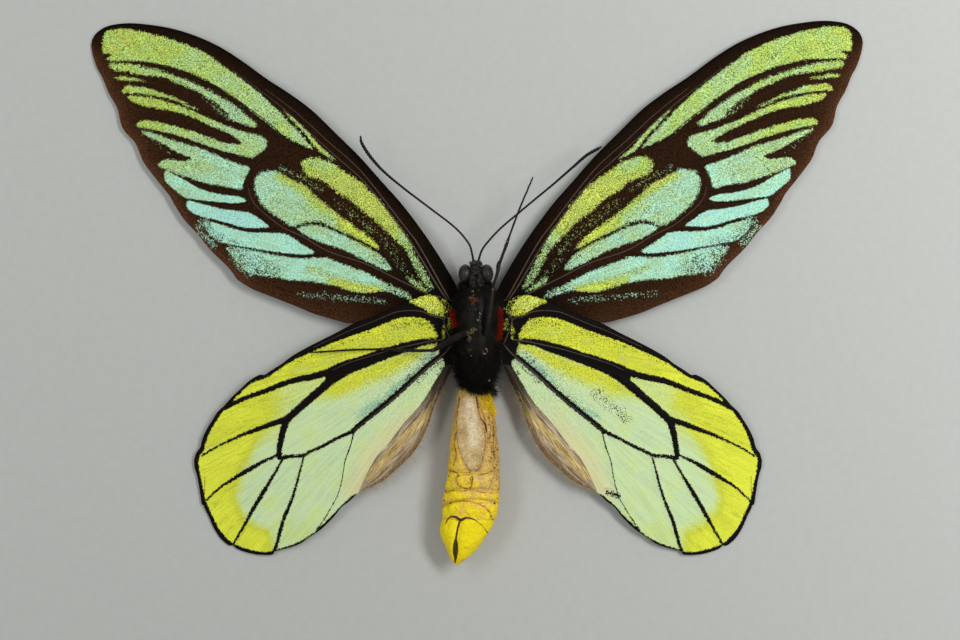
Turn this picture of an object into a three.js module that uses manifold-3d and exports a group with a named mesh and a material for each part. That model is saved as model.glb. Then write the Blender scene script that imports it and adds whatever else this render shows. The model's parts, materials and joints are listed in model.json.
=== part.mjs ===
// A spread birdwing butterfly on its pin, lying on its back with the underside up.
// Millimetres, +Z up. The origin is the middle of the pin's flat head, on the plane the specimen
// lies on; +Y points to the head of the butterfly and +X to the right as seen from above.
import * as THREE from "three";
import { mergeVertices } from "three/addons/utils/BufferGeometryUtils.js";
import Module from "manifold-3d";

const wasm = await Module();
wasm.setup();

// Driving dimensions
const GAP = 0.3;

const PIN_RADIUS = 0.27;
const PIN_LENGTH = 37;
const PIN_POINT = 2.4;
const PIN_HEAD_RADIUS = 0.95;
const PIN_HEAD_HEIGHT = 0.6;

const WING_THICKNESS = 0.4;
const VEIN_THICKNESS = 0.85;
const DROOP_POWER = 1.5;
const FOREWING_ROOT = { x: 5, y: 4, z: 3.2 };
const HINDWING_ROOT = { x: 5.3, y: -4, z: 4.8 };
const LEFT_FOREWING_TURN = 0.007;
const FOLD_FULLNESS = 0.7;
const FOLD_REACH = 0.52;

// Wing edges of the right side, from the body out to the tip of the wing
const FOREWING_FRONT = [
  [3.9, 6], [6, 10], [12.4, 20], [20.6, 30], [30, 40], [40, 48.7], [50, 55.7], [60, 61.2],
  [70, 63.7], [74, 64.05], [77, 63.85], [80.5, 62.6], [82.2, 60.5],
];
const FOREWING_REAR = [
  [5.4, 1.4], [10, 0.4], [19, -0.6], [27, -0.5], [35, 1.6], [43.3, 5], [48.2, 7], [51.3, 9],
  [53.6, 12], [57.6, 16], [62.7, 22], [64.9, 25.5], [70.4, 33], [72.4, 37.1], [75.8, 41.6],
  [76.7, 45.4], [79.2, 50.4], [81, 54.2], [82.1, 57.4], [82.4, 59.4],
];
const HINDWING_FRONT = [
  [5.35, 2.5], [7, 4.4], [9.2, 5.4], [12.5, 5.1], [18, 2.6], [26, -0.5], [35, -5.1], [40.1, -8],
  [46.2, -11.6], [50.8, -14.8], [54.2, -18.3], [57.9, -23.2], [59.4, -27.2], [60.75, -30],
];
const HINDWING_REAR = [
  [5.25, -9.5], [6.5, -12.3], [9.5, -19], [12.3, -26], [16.4, -30.9], [21.9, -35.1],
  [25.3, -36.7], [29.1, -39.9], [33.9, -45], [37.8, -47.7], [43.2, -49.6], [49.4, -49.75],
  [54.8, -47.1], [57.6, -42.1], [59.1, -39.6], [60.1, -33.4], [60.7, -31.4],
];
const FOREWING_RIBS = 31;
const HINDWING_RIBS = 26;
// Places of the lengthwise rows across a wing, as shares of the way from front edge to rear edge
const WING_ROWS = [0, 0.05, 0.15, 0.3, 0.46, 0.62, 0.78, 0.9, 1];

// Body stations: place along Y, left and right side, bottom and top
const THORAX_STATIONS = [
  [6.9, -3.0, 2.9, 1.6, 10.2], [5.2, -4.1, 4.0, 0.3, 11.6], [2.5, -4.9, 4.85, -0.3, 12.5],
  [-1, -5.05, 5, -0.4, 12.8], [-5, -5.05, 5, -0.4, 12.7], [-9, -4.95, 4.9, -0.3, 12.1],
  [-13, -4.7, 4.1, 0, 11.0], [-15.8, -4.3, 3.4, 0.6, 10.0],
];
const ABDOMEN_STATIONS = [
  [-16.1, -4.3, 3.3, 1.0, 9.6], [-19, -5.0, 3.6, 0.5, 10.0], [-23, -5.5, 3.9, 0.3, 10.1],
  [-27, -6.0, 4.3, 0.3, 10.2], [-32, -6.5, 4.6, 0.3, 10.3], [-36, -7.1, 4.7, 0.3, 10.3],
  [-39, -7.6, 4.5, 0.4, 10.1], [-42, -7.6, 3.9, 0.5, 9.8],
];
const TIP_STATIONS = [
  [-42.3, -7.6, 3.7, 0.6, 9.7], [-44, -8.1, 3.0, 0.7, 9.6], [-46, -7.9, 1.7, 1.0, 9.2],
  [-48, -7.0, 0.4, 1.6, 8.5], [-50, -6.2, -1.5, 2.4, 7.4], [-51.3, -5.6, -3.1, 3.3, 6.3],
  [-52, -5.0, -4.1, 4.2, 5.4],
];
const THORAX_RINGS = 16;
const ABDOMEN_RINGS = 29;
const TIP_RINGS = 9;
const BODY_SIDES = 18;
const SEGMENT_JOINTS = [-20.5, -24.5, -28.5, -32.4, -36.3, -39.2];
const SEGMENT_GROOVE = 0.22;
const SEGMENT_GROOVE_WIDTH = 0.6;
const BELLY_HOLLOW = { x: -1.6, y: -23.5, depth: 1.1, halfWidth: 3.2, halfLength: 9 };
const CLASPER_SLIT = { from: [-3.6, -42], to: [-4.85, -52], width: 0.5 };

const HEAD_CENTRE = [-0.45, 9.9, 6.9];
const HEAD_RADII = [2.2, 2.65, 2.9];
const EYE_RADII = [1.4, 2.0, 2.15];
const EYE_CENTRES = { left: [-2.75, 9.8, 6.9], right: [1.85, 9.8, 6.9] };
const PALP_CENTRES = [[-1.25, 9.0, 9.1], [0.4, 9.0, 9.1]];
const PALP_RADII = [0.75, 2.0, 0.95];
const LEG_SOCKETS = [[1.5, -6.5, 12.0], [-2.2, -6.5, 11.9], [1.7, -10, 11.2], [-2.1, -10, 11.2]];
const LEG_SOCKET_RADIUS = 0.9;

// Routes of the thin limbs: x, y, z and radius
const ANTENNA_LEFT = [
  [-1, 12.95, 7.6, 0.24], [-1.35, 14.5, 7.9, 0.22], [-2.1, 16.4, 8.1, 0.21],
  [-4.9, 19.6, 8.2, 0.21], [-10.2, 23.7, 8.0, 0.22], [-15.6, 27.8, 7.6, 0.24],
  [-19.9, 31.4, 7.1, 0.28], [-22.8, 34.6, 6.7, 0.34], [-24.6, 37.4, 6.3, 0.33],
  [-24.9, 38.7, 6.2, 0.16],
];
const ANTENNA_RIGHT = [
  [0.1, 12.95, 7.6, 0.24], [0.9, 14.9, 7.9, 0.22], [2.5, 17, 8.1, 0.21], [5, 19.6, 8.2, 0.21],
  [8.3, 22.4, 8.1, 0.21], [12, 25.5, 7.9, 0.22], [16, 28.8, 7.5, 0.24], [20, 32.3, 7.1, 0.28],
  [23, 34.9, 6.7, 0.34], [25.2, 36.2, 6.4, 0.33], [25.9, 36.6, 6.3, 0.16],
];
const LEG_RIGHT = [
  [1.6, -3, 13.4, 0.42], [2.2, 0, 13.9, 0.52], [2.8, 4, 13.8, 0.46], [3.1, 6.4, 13.5, 0.4],
  [3.3, 7.4, 13.3, 0.32], [4.1, 10, 12.8, 0.36], [4.35, 11.6, 12.5, 0.46], [4.8, 12.6, 12.3, 0.34],
  [5.3, 14, 12.0, 0.32], [6.2, 16.4, 11.4, 0.33], [6.6, 17.6, 11.1, 0.23], [8.7, 23.3, 10.1, 0.22],
  [10.4, 27.3, 9.4, 0.2], [11.6, 30.2, 8.9, 0.17],
];
const LEG_LEFT = [
  [-1.5, -2.1, 13.4, 0.42], [-4, -3.4, 12.6, 0.5], [-7, -5, 10.6, 0.47], [-9.3, -6.3, 8.9, 0.4],
  [-10.6, -6.45, 8.2, 0.32], [-13, -6.5, 7.2, 0.34], [-16, -6.4, 6.3, 0.33], [-20.3, -6.2, 5.5, 0.32],
  [-21.6, -6.2, 5.35, 0.23], [-25.7, -6.3, 5.0, 0.22], [-31, -6.6, 4.6, 0.2],
  [-35.4, -6.9, 4.25, 0.17],
];
const LIMB_SIDES = 6;
const LIMB_STEPS = 26;

const COLOURS = {
  forewing: 0x5f7a4c,
  hindwing: 0xc9d86a,
  thorax: 0x12100d,
  head: 0x191512,
  eye: 0x3a3430,
  limb: 0x1c1613,
  abdomen: 0xd9b04a,
  clasper: 0xf0dc28,
  pin: 0xb8babc,
};

function solidOf(geometry) {
  const position = geometry.clone();
  position.deleteAttribute("normal");
  position.deleteAttribute("uv");
  const merged = mergeVertices(position, 1e-4);
  const vertProperties = new Float32Array(merged.attributes.position.array);
  const triVerts = new Uint32Array(merged.index.array);
  return new wasm.Manifold(new wasm.Mesh({ numProp: 3, vertProperties, triVerts }));
}

function geometryOf(solid) {
  const mesh = solid.getMesh();
  const geometry = new THREE.BufferGeometry();
  geometry.setAttribute("position", new THREE.BufferAttribute(mesh.vertProperties, 3));
  geometry.setIndex(new THREE.BufferAttribute(mesh.triVerts, 1));
  geometry.computeVertexNormals();
  return geometry;
}

function signedVolume(points, indices) {
  let volume = 0;
  for (let i = 0; i < indices.length; i += 3) {
    const [a, b, c] = [points[indices[i]], points[indices[i + 1]], points[indices[i + 2]]];
    volume += a.dot(new THREE.Vector3().crossVectors(b, c));
  }
  return volume / 6;
}

// A closed skin over a row of rings that all have the same number of points
function loft(rings) {
  const sides = rings[0].length;
  const points = rings.flat();
  const indices = [];
  for (let i = 0; i + 1 < rings.length; i += 1) {
    for (let j = 0; j < sides; j += 1) {
      const next = (j + 1) % sides;
      const [a, b] = [i * sides + j, i * sides + next];
      const [c, d] = [a + sides, b + sides];
      indices.push(a, b, d, a, d, c);
    }
  }
  for (const [first, turn] of [[0, -1], [(rings.length - 1) * sides, 1]]) {
    const middle = new THREE.Vector3();
    for (let j = 0; j < sides; j += 1) middle.addScaledVector(points[first + j], 1 / sides);
    points.push(middle);
    for (let j = 0; j < sides; j += 1) {
      const [a, b] = [first + j, first + ((j + 1) % sides)];
      indices.push(points.length - 1, turn > 0 ? a : b, turn > 0 ? b : a);
    }
  }
  if (signedVolume(points, indices) < 0) indices.reverse();
  const geometry = new THREE.BufferGeometry().setFromPoints(points);
  geometry.setIndex(indices);
  geometry.computeVertexNormals();
  return geometry;
}

function edgePoints(edge, count) {
  const curve = new THREE.SplineCurve(edge.map(([x, y]) => new THREE.Vector2(x, y)));
  return curve.getSpacedPoints(count);
}

// A thin wing: ribs run from the front edge to the rear edge, and each rib is one flat ring
function wingGeometry({ front, rear, ribs, root, side, fold }) {
  const frontPoints = edgePoints(front, ribs);
  const rearPoints = edgePoints(rear, ribs);
  const reach = Math.max(
    ...[...frontPoints, ...rearPoints].map((p) => Math.hypot(p.x - root.x, p.y - root.y)),
  );
  const rings = frontPoints.map((start, i) => {
    const upper = [];
    const lower = [];
    for (const row of WING_ROWS) {
      const p = start.clone().lerp(rearPoints[i], row);
      const distance = Math.hypot(p.x - root.x, p.y - root.y);
      const z = root.z * (1 - (distance / reach) ** DROOP_POWER);
      const veinShare = Math.max(0, 1 - row / WING_ROWS[2]);
      const foldShare = row > WING_ROWS[5] && row < 1 && i < ribs * FOLD_REACH ? fold : 0;
      const thickness = THREE.MathUtils.lerp(WING_THICKNESS, VEIN_THICKNESS, veinShare) + foldShare;
      upper.push(new THREE.Vector3(side * p.x, p.y, z + thickness));
      lower.push(new THREE.Vector3(side * p.x, p.y, z));
    }
    return [...upper, ...lower.reverse()];
  });
  return loft(rings);
}

// Values between stations follow a smooth curve through them
function stationAt(stations, share) {
  return [0, 1, 2, 3, 4].map((column) => {
    const curve = new THREE.SplineCurve(stations.map((row, i) => new THREE.Vector2(i, row[column])));
    return curve.getPoint(share).y;
  });
}

function bodyRings(stations, count, shape) {
  const rings = [];
  for (let i = 0; i < count; i += 1) {
    const [y, left, right, bottom, top] = stationAt(stations, i / (count - 1));
    const ring = [];
    for (let j = 0; j < BODY_SIDES; j += 1) {
      const angle = (j / BODY_SIDES) * Math.PI * 2;
      const point = new THREE.Vector3(
        (left + right) / 2 + ((right - left) / 2) * Math.cos(angle),
        y,
        (bottom + top) / 2 + ((top - bottom) / 2) * Math.sin(angle),
      );
      ring.push(shape ? shape(point, (left + right) / 2, (bottom + top) / 2) : point);
    }
    rings.push(ring);
  }
  return rings;
}

function ellipsoid([x, y, z], radii, grow = 0, across = 18, along = 12) {
  const geometry = new THREE.SphereGeometry(1, across, along);
  geometry.scale(radii[0] + grow, radii[1] + grow, radii[2] + grow);
  geometry.translate(x, y, z);
  return solidOf(geometry);
}

function slab(width, depth, height, x, y, z, turn = 0) {
  const geometry = new THREE.BoxGeometry(width, depth, height);
  geometry.rotateZ(turn);
  geometry.translate(x, y, z);
  return solidOf(geometry);
}

function uprightRod(radius, bottom, top) {
  const geometry = new THREE.CylinderGeometry(radius, radius, top - bottom, 12);
  geometry.rotateX(Math.PI / 2);
  geometry.translate(0, 0, (top + bottom) / 2);
  return solidOf(geometry);
}

function thoraxGeometry() {
  let solid = solidOf(loft(bodyRings(THORAX_STATIONS, THORAX_RINGS)));
  for (const centre of LEG_SOCKETS) {
    const radii = [LEG_SOCKET_RADIUS, LEG_SOCKET_RADIUS, LEG_SOCKET_RADIUS];
    solid = solid.add(ellipsoid(centre, radii, 0, 10, 6));
  }
  solid = solid.subtract(slab(60, 60, 10, 0, 0, -5));
  solid = solid.subtract(uprightRod(PIN_RADIUS + GAP, -1, PIN_LENGTH));
  return geometryOf(solid.subtract(uprightRod(PIN_HEAD_RADIUS + GAP, -1, PIN_HEAD_HEIGHT + GAP)));
}

// Shallow grooves mark the segments, and the dried belly has sunk along its middle
function abdomenPoint(point, middleX, middleZ) {
  let shrink = 1;
  for (const joint of SEGMENT_JOINTS) {
    const away = Math.abs(point.y - joint) / SEGMENT_GROOVE_WIDTH;
    shrink -= (SEGMENT_GROOVE / 5) * Math.max(0, 1 - away);
  }
  point.x = middleX + (point.x - middleX) * shrink;
  point.z = middleZ + (point.z - middleZ) * shrink;
  const across = (point.x - BELLY_HOLLOW.x) / BELLY_HOLLOW.halfWidth;
  const along = (point.y - BELLY_HOLLOW.y) / BELLY_HOLLOW.halfLength;
  const nearness = Math.max(0, 1 - across ** 2 - along ** 2);
  if (point.z > middleZ) point.z -= BELLY_HOLLOW.depth * nearness;
  return point;
}

function clasperGeometry(side) {
  const tip = solidOf(loft(bodyRings(TIP_STATIONS, TIP_RINGS)));
  const { from, to, width } = CLASPER_SLIT;
  const slitTurn = Math.atan2(to[1] - from[1], to[0] - from[0]) + Math.PI / 2;
  const half = 30;
  const offset = side * (half / 2 + width / 2);
  const middle = [(from[0] + to[0]) / 2, (from[1] + to[1]) / 2];
  const keep = slab(
    half, half * 2, half,
    middle[0] + offset * Math.cos(slitTurn), middle[1] + offset * Math.sin(slitTurn), 0,
    slitTurn,
  );
  return geometryOf(tip.intersect(keep));
}

function headGeometry() {
  let solid = ellipsoid(HEAD_CENTRE, HEAD_RADII);
  for (const centre of PALP_CENTRES) solid = solid.add(ellipsoid(centre, PALP_RADII, 0, 12, 8));
  for (const centre of Object.values(EYE_CENTRES)) {
    solid = solid.subtract(ellipsoid(centre, EYE_RADII, GAP, 14, 10));
  }
  return geometryOf(solid);
}

function eyeGeometry(side) {
  return geometryOf(ellipsoid(EYE_CENTRES[side], EYE_RADII, 0, 14, 10));
}

// A round limb of changing thickness along a smooth route
function limbGeometry(route) {
  const path = new THREE.CatmullRomCurve3(route.map(([x, y, z]) => new THREE.Vector3(x, y, z)));
  const width = new THREE.SplineCurve(route.map((row, i) => new THREE.Vector2(i, row[3])));
  const up = new THREE.Vector3(0, 0, 1);
  const rings = [];
  for (let i = 0; i <= LIMB_STEPS; i += 1) {
    const share = i / LIMB_STEPS;
    const centre = path.getPoint(share);
    const radius = width.getPoint(share).y;
    const across = new THREE.Vector3().crossVectors(path.getTangent(share), up).normalize();
    const over = new THREE.Vector3().crossVectors(across, path.getTangent(share)).normalize();
    const ring = [];
    for (let j = 0; j < LIMB_SIDES; j += 1) {
      const angle = (j / LIMB_SIDES) * Math.PI * 2;
      const point = centre.clone();
      point.addScaledVector(across, radius * Math.cos(angle));
      point.addScaledVector(over, radius * Math.sin(angle));
      ring.push(point);
    }
    rings.push(ring);
  }
  return loft(rings);
}

function pinGeometry() {
  const profile = [
    [0, 0], [PIN_HEAD_RADIUS, 0], [PIN_HEAD_RADIUS, PIN_HEAD_HEIGHT * 0.6],
    [PIN_RADIUS * 1.6, PIN_HEAD_HEIGHT], [PIN_RADIUS, PIN_HEAD_HEIGHT],
    [PIN_RADIUS, PIN_LENGTH - PIN_POINT], [0, PIN_LENGTH],
  ];
  const geometry = new THREE.LatheGeometry(profile.map(([r, h]) => new THREE.Vector2(r, h)), 12);
  geometry.rotateX(Math.PI / 2);
  return geometryOf(solidOf(geometry));
}

const butterfly = new THREE.Group();

function addPiece(name, geometry, color, roughness, metalness = 0) {
  const material = new THREE.MeshStandardMaterial({ color, roughness, metalness });
  const mesh = new THREE.Mesh(geometry, material);
  mesh.name = name;
  butterfly.add(mesh);
  return mesh;
}

for (const [sideName, side] of [["left", -1], ["right", 1]]) {
  const forewing = addPiece(
    `forewing_${sideName}`,
    wingGeometry({
      front: FOREWING_FRONT, rear: FOREWING_REAR, ribs: FOREWING_RIBS, root: FOREWING_ROOT, side, fold: 0,
    }),
    COLOURS.forewing, 0.7,
  );
  if (side < 0) forewing.rotation.z = LEFT_FOREWING_TURN;
  addPiece(
    `hindwing_${sideName}`,
    wingGeometry({
      front: HINDWING_FRONT, rear: HINDWING_REAR, ribs: HINDWING_RIBS, root: HINDWING_ROOT, side,
      fold: FOLD_FULLNESS,
    }),
    COLOURS.hindwing, 0.65,
  );
  addPiece(`clasper_${sideName}`, clasperGeometry(side), COLOURS.clasper, 0.5);
  addPiece(`eye_${sideName}`, eyeGeometry(sideName), COLOURS.eye, 0.25);
}
addPiece("thorax", thoraxGeometry(), COLOURS.thorax, 0.9);
addPiece("head", headGeometry(), COLOURS.head, 0.8);
addPiece("abdomen", loft(bodyRings(ABDOMEN_STATIONS, ABDOMEN_RINGS, abdomenPoint)), COLOURS.abdomen, 0.55);
addPiece("antenna_left", limbGeometry(ANTENNA_LEFT), COLOURS.limb, 0.5);
addPiece("antenna_right", limbGeometry(ANTENNA_RIGHT), COLOURS.limb, 0.5);
addPiece("leg_left", limbGeometry(LEG_LEFT), COLOURS.limb, 0.45);
addPiece("leg_right", limbGeometry(LEG_RIGHT), COLOURS.limb, 0.45);
addPiece("pin", pinGeometry(), COLOURS.pin, 0.25, 1);

export default butterfly;
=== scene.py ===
"""Spread birdwing butterfly on its pin, underside up: the finished surfaces over the solid model."""
import json
import math

import bmesh
import bpy
import numpy as np
from bpy.props import FloatProperty, FloatVectorProperty, IntProperty, PointerProperty
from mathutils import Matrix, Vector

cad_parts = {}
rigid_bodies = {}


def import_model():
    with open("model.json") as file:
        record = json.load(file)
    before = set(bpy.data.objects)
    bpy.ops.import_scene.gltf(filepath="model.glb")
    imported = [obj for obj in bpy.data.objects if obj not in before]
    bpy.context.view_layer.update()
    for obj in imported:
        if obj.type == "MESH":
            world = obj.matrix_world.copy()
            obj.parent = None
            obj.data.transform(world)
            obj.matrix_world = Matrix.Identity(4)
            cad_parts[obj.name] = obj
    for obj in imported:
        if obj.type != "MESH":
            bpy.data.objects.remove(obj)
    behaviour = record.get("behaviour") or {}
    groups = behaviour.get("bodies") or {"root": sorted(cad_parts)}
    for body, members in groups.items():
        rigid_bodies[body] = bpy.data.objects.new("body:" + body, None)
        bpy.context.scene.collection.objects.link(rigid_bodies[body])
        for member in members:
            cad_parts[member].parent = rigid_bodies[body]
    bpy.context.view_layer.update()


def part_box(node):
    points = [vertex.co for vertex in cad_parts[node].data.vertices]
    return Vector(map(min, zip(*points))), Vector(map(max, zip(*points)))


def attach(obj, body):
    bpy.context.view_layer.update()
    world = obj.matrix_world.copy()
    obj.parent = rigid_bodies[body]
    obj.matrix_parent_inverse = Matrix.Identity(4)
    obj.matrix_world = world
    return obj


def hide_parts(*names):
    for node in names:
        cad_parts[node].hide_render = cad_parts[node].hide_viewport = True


bl_info = {
    "name": "Birdwing Specimen",
    "version": (1, 0, 0),
    "blender": (4, 5, 0),
    "location": "View3D > Sidebar > Specimen",
    "description": "Builds a spread and pinned birdwing butterfly with procedural wing markings",
    "category": "Object",
}

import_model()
BODY = "root"
MM = 0.001
SIDES = (("left", -1), ("right", 1))
TINY = 1e-9
# Waves that add up to the small unevenness of the body
RIPPLE_WAVES = 7

# Stage, in metres: places and sizes of the lights, floor and camera
KEY_PLACE, KEY_SIZE = (0.42, 0.16, 0.62), 0.5
FILL_PLACE, FILL_SIZE = (-0.45, 0.1, 0.6), 0.6
WORLD_STRENGTH = 0.35
FLOOR_HALF, FLOOR_LEVEL = 1.5, -0.2 * MM
CAMERA_SHIFT = 0.43 * MM
# Height at which the picture covers the view width
VIEW_LEVEL = 2 * MM


def srgb(red, green, blue):
    """Scene-linear colour from everyday 0 to 255 values."""
    shares = np.array((red, green, blue)) / 255
    low = shares / 12.92
    high = ((shares + 0.055) / 1.055) ** 2.4
    return tuple(float(v) for v in np.where(shares <= 0.04045, low, high))


# Wing shape of the right side, in millimetres from the pin: x to the right, y to the head
WING_DROOP = 1.5
FOREWING_ROOT = (5.0, 4.0, 3.2)
HINDWING_ROOT = (5.3, -4.0, 4.8)
LEFT_FOREWING_TURN = 0.007
SHEET_LIFT = 0.04
VEIN_LIFT = 0.3
VEIN_RISE, VEIN_RISE_WIDTH = 0.16, 0.7
# Share of a vein's root radius at its tip
VEIN_TIP = 0.35
# Distances stored where a point is far from every patch, or on the face without marks
FAR_OUTSIDE = -9.0
NOWHERE = 5
# Step between the noise of the left and of the right wings
RAY_SHIFT = 7
# Thickness of the sheet that the fold's hairs grow on, and the range of a hair's length
HAIR_BASE = 0.1
SHORTEST_HAIR, LONGEST_HAIR = 0.4, 1.35
FOREWING_FRONT = [
    (3.9, 6), (6, 10), (9, 15), (12.4, 20), (16.2, 25), (20.6, 30), (25, 35), (30, 40), (35.1, 45),
    (40, 48.7), (45, 52), (50, 55.7), (55, 58.9), (60, 61.2), (65, 62.8), (70, 63.7), (74, 64.05),
    (77, 63.85), (79, 63.4), (80.5, 62.6), (81.6, 61.6), (82.2, 60.5),
]
FOREWING_REAR = [
    (5.4, 1.4), (10, 0.4), (19, -0.6), (27, -0.5), (30, 0.1), (35, 1.6), (38.3, 3), (43.3, 5),
    (45.8, 6), (48.2, 7), (49.9, 8), (51.3, 9), (52.2, 10.3), (53.6, 12), (55.7, 14), (57.6, 16),
    (59.1, 18), (60.9, 20), (62.7, 22), (64, 24), (64.9, 25.5), (65.7, 27), (68.1, 30), (70.4, 33),
    (71.5, 34.7), (72.4, 37.1), (73.2, 38.6), (74.5, 40), (75.6, 41.4), (76.2, 43), (76.7, 45.4),
    (77.5, 47.1), (78.5, 48.8), (79.2, 50.4), (80, 52.4), (81, 54.2), (81.6, 55.8), (82.1, 57.4),
    (82.4, 59.4),
]
HINDWING_FRONT = [
    (5.35, 2.5), (7, 4.4), (9.2, 5.4), (10.5, 5.5), (12.5, 5.1), (15, 3.9), (18, 2.6), (23, 0.5),
    (26, -0.5), (30, -2.6), (35, -5.1), (38, -6.7), (40.1, -8), (41.8, -9.3), (44, -10.7),
    (45.5, -11.7), (46.6, -11.7), (48.6, -12.8), (50.8, -14.8), (52.8, -16.7), (54.2, -18.3),
    (55.6, -19.6), (56.7, -21.3), (57.9, -23.2), (58.9, -25.3), (59.4, -27.2), (60.3, -28.5),
    (60.75, -30),
]
HINDWING_REAR = [
    (5.25, -9.5), (6.5, -12.3), (8.1, -15.5), (9.5, -19), (10.6, -22.5), (12.3, -26), (14.4, -29),
    (16.4, -30.9), (19.5, -33.7), (21.9, -35.1), (23.9, -35.9), (25.3, -36.7), (26.6, -37.9),
    (27.7, -38.9), (29.1, -39.9), (30.5, -41.7), (32.2, -43.5), (33.9, -45), (36.2, -46.5),
    (37.8, -47.7), (39.8, -48.5), (42.1, -49.1), (43.5, -49.5), (44, -50.2), (46.9, -50.2),
    (49.4, -49.75), (51.7, -48.9), (52.4, -48.1), (53.2, -48.3), (54.8, -47.1), (56, -45.5),
    (56.9, -43.8), (57.6, -42.1), (58.6, -40.1), (58.5, -39.7), (59.1, -39.4), (59.4, -37.6),
    (59.7, -35.6), (60.1, -33.4), (60.7, -31.4),
]

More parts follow.
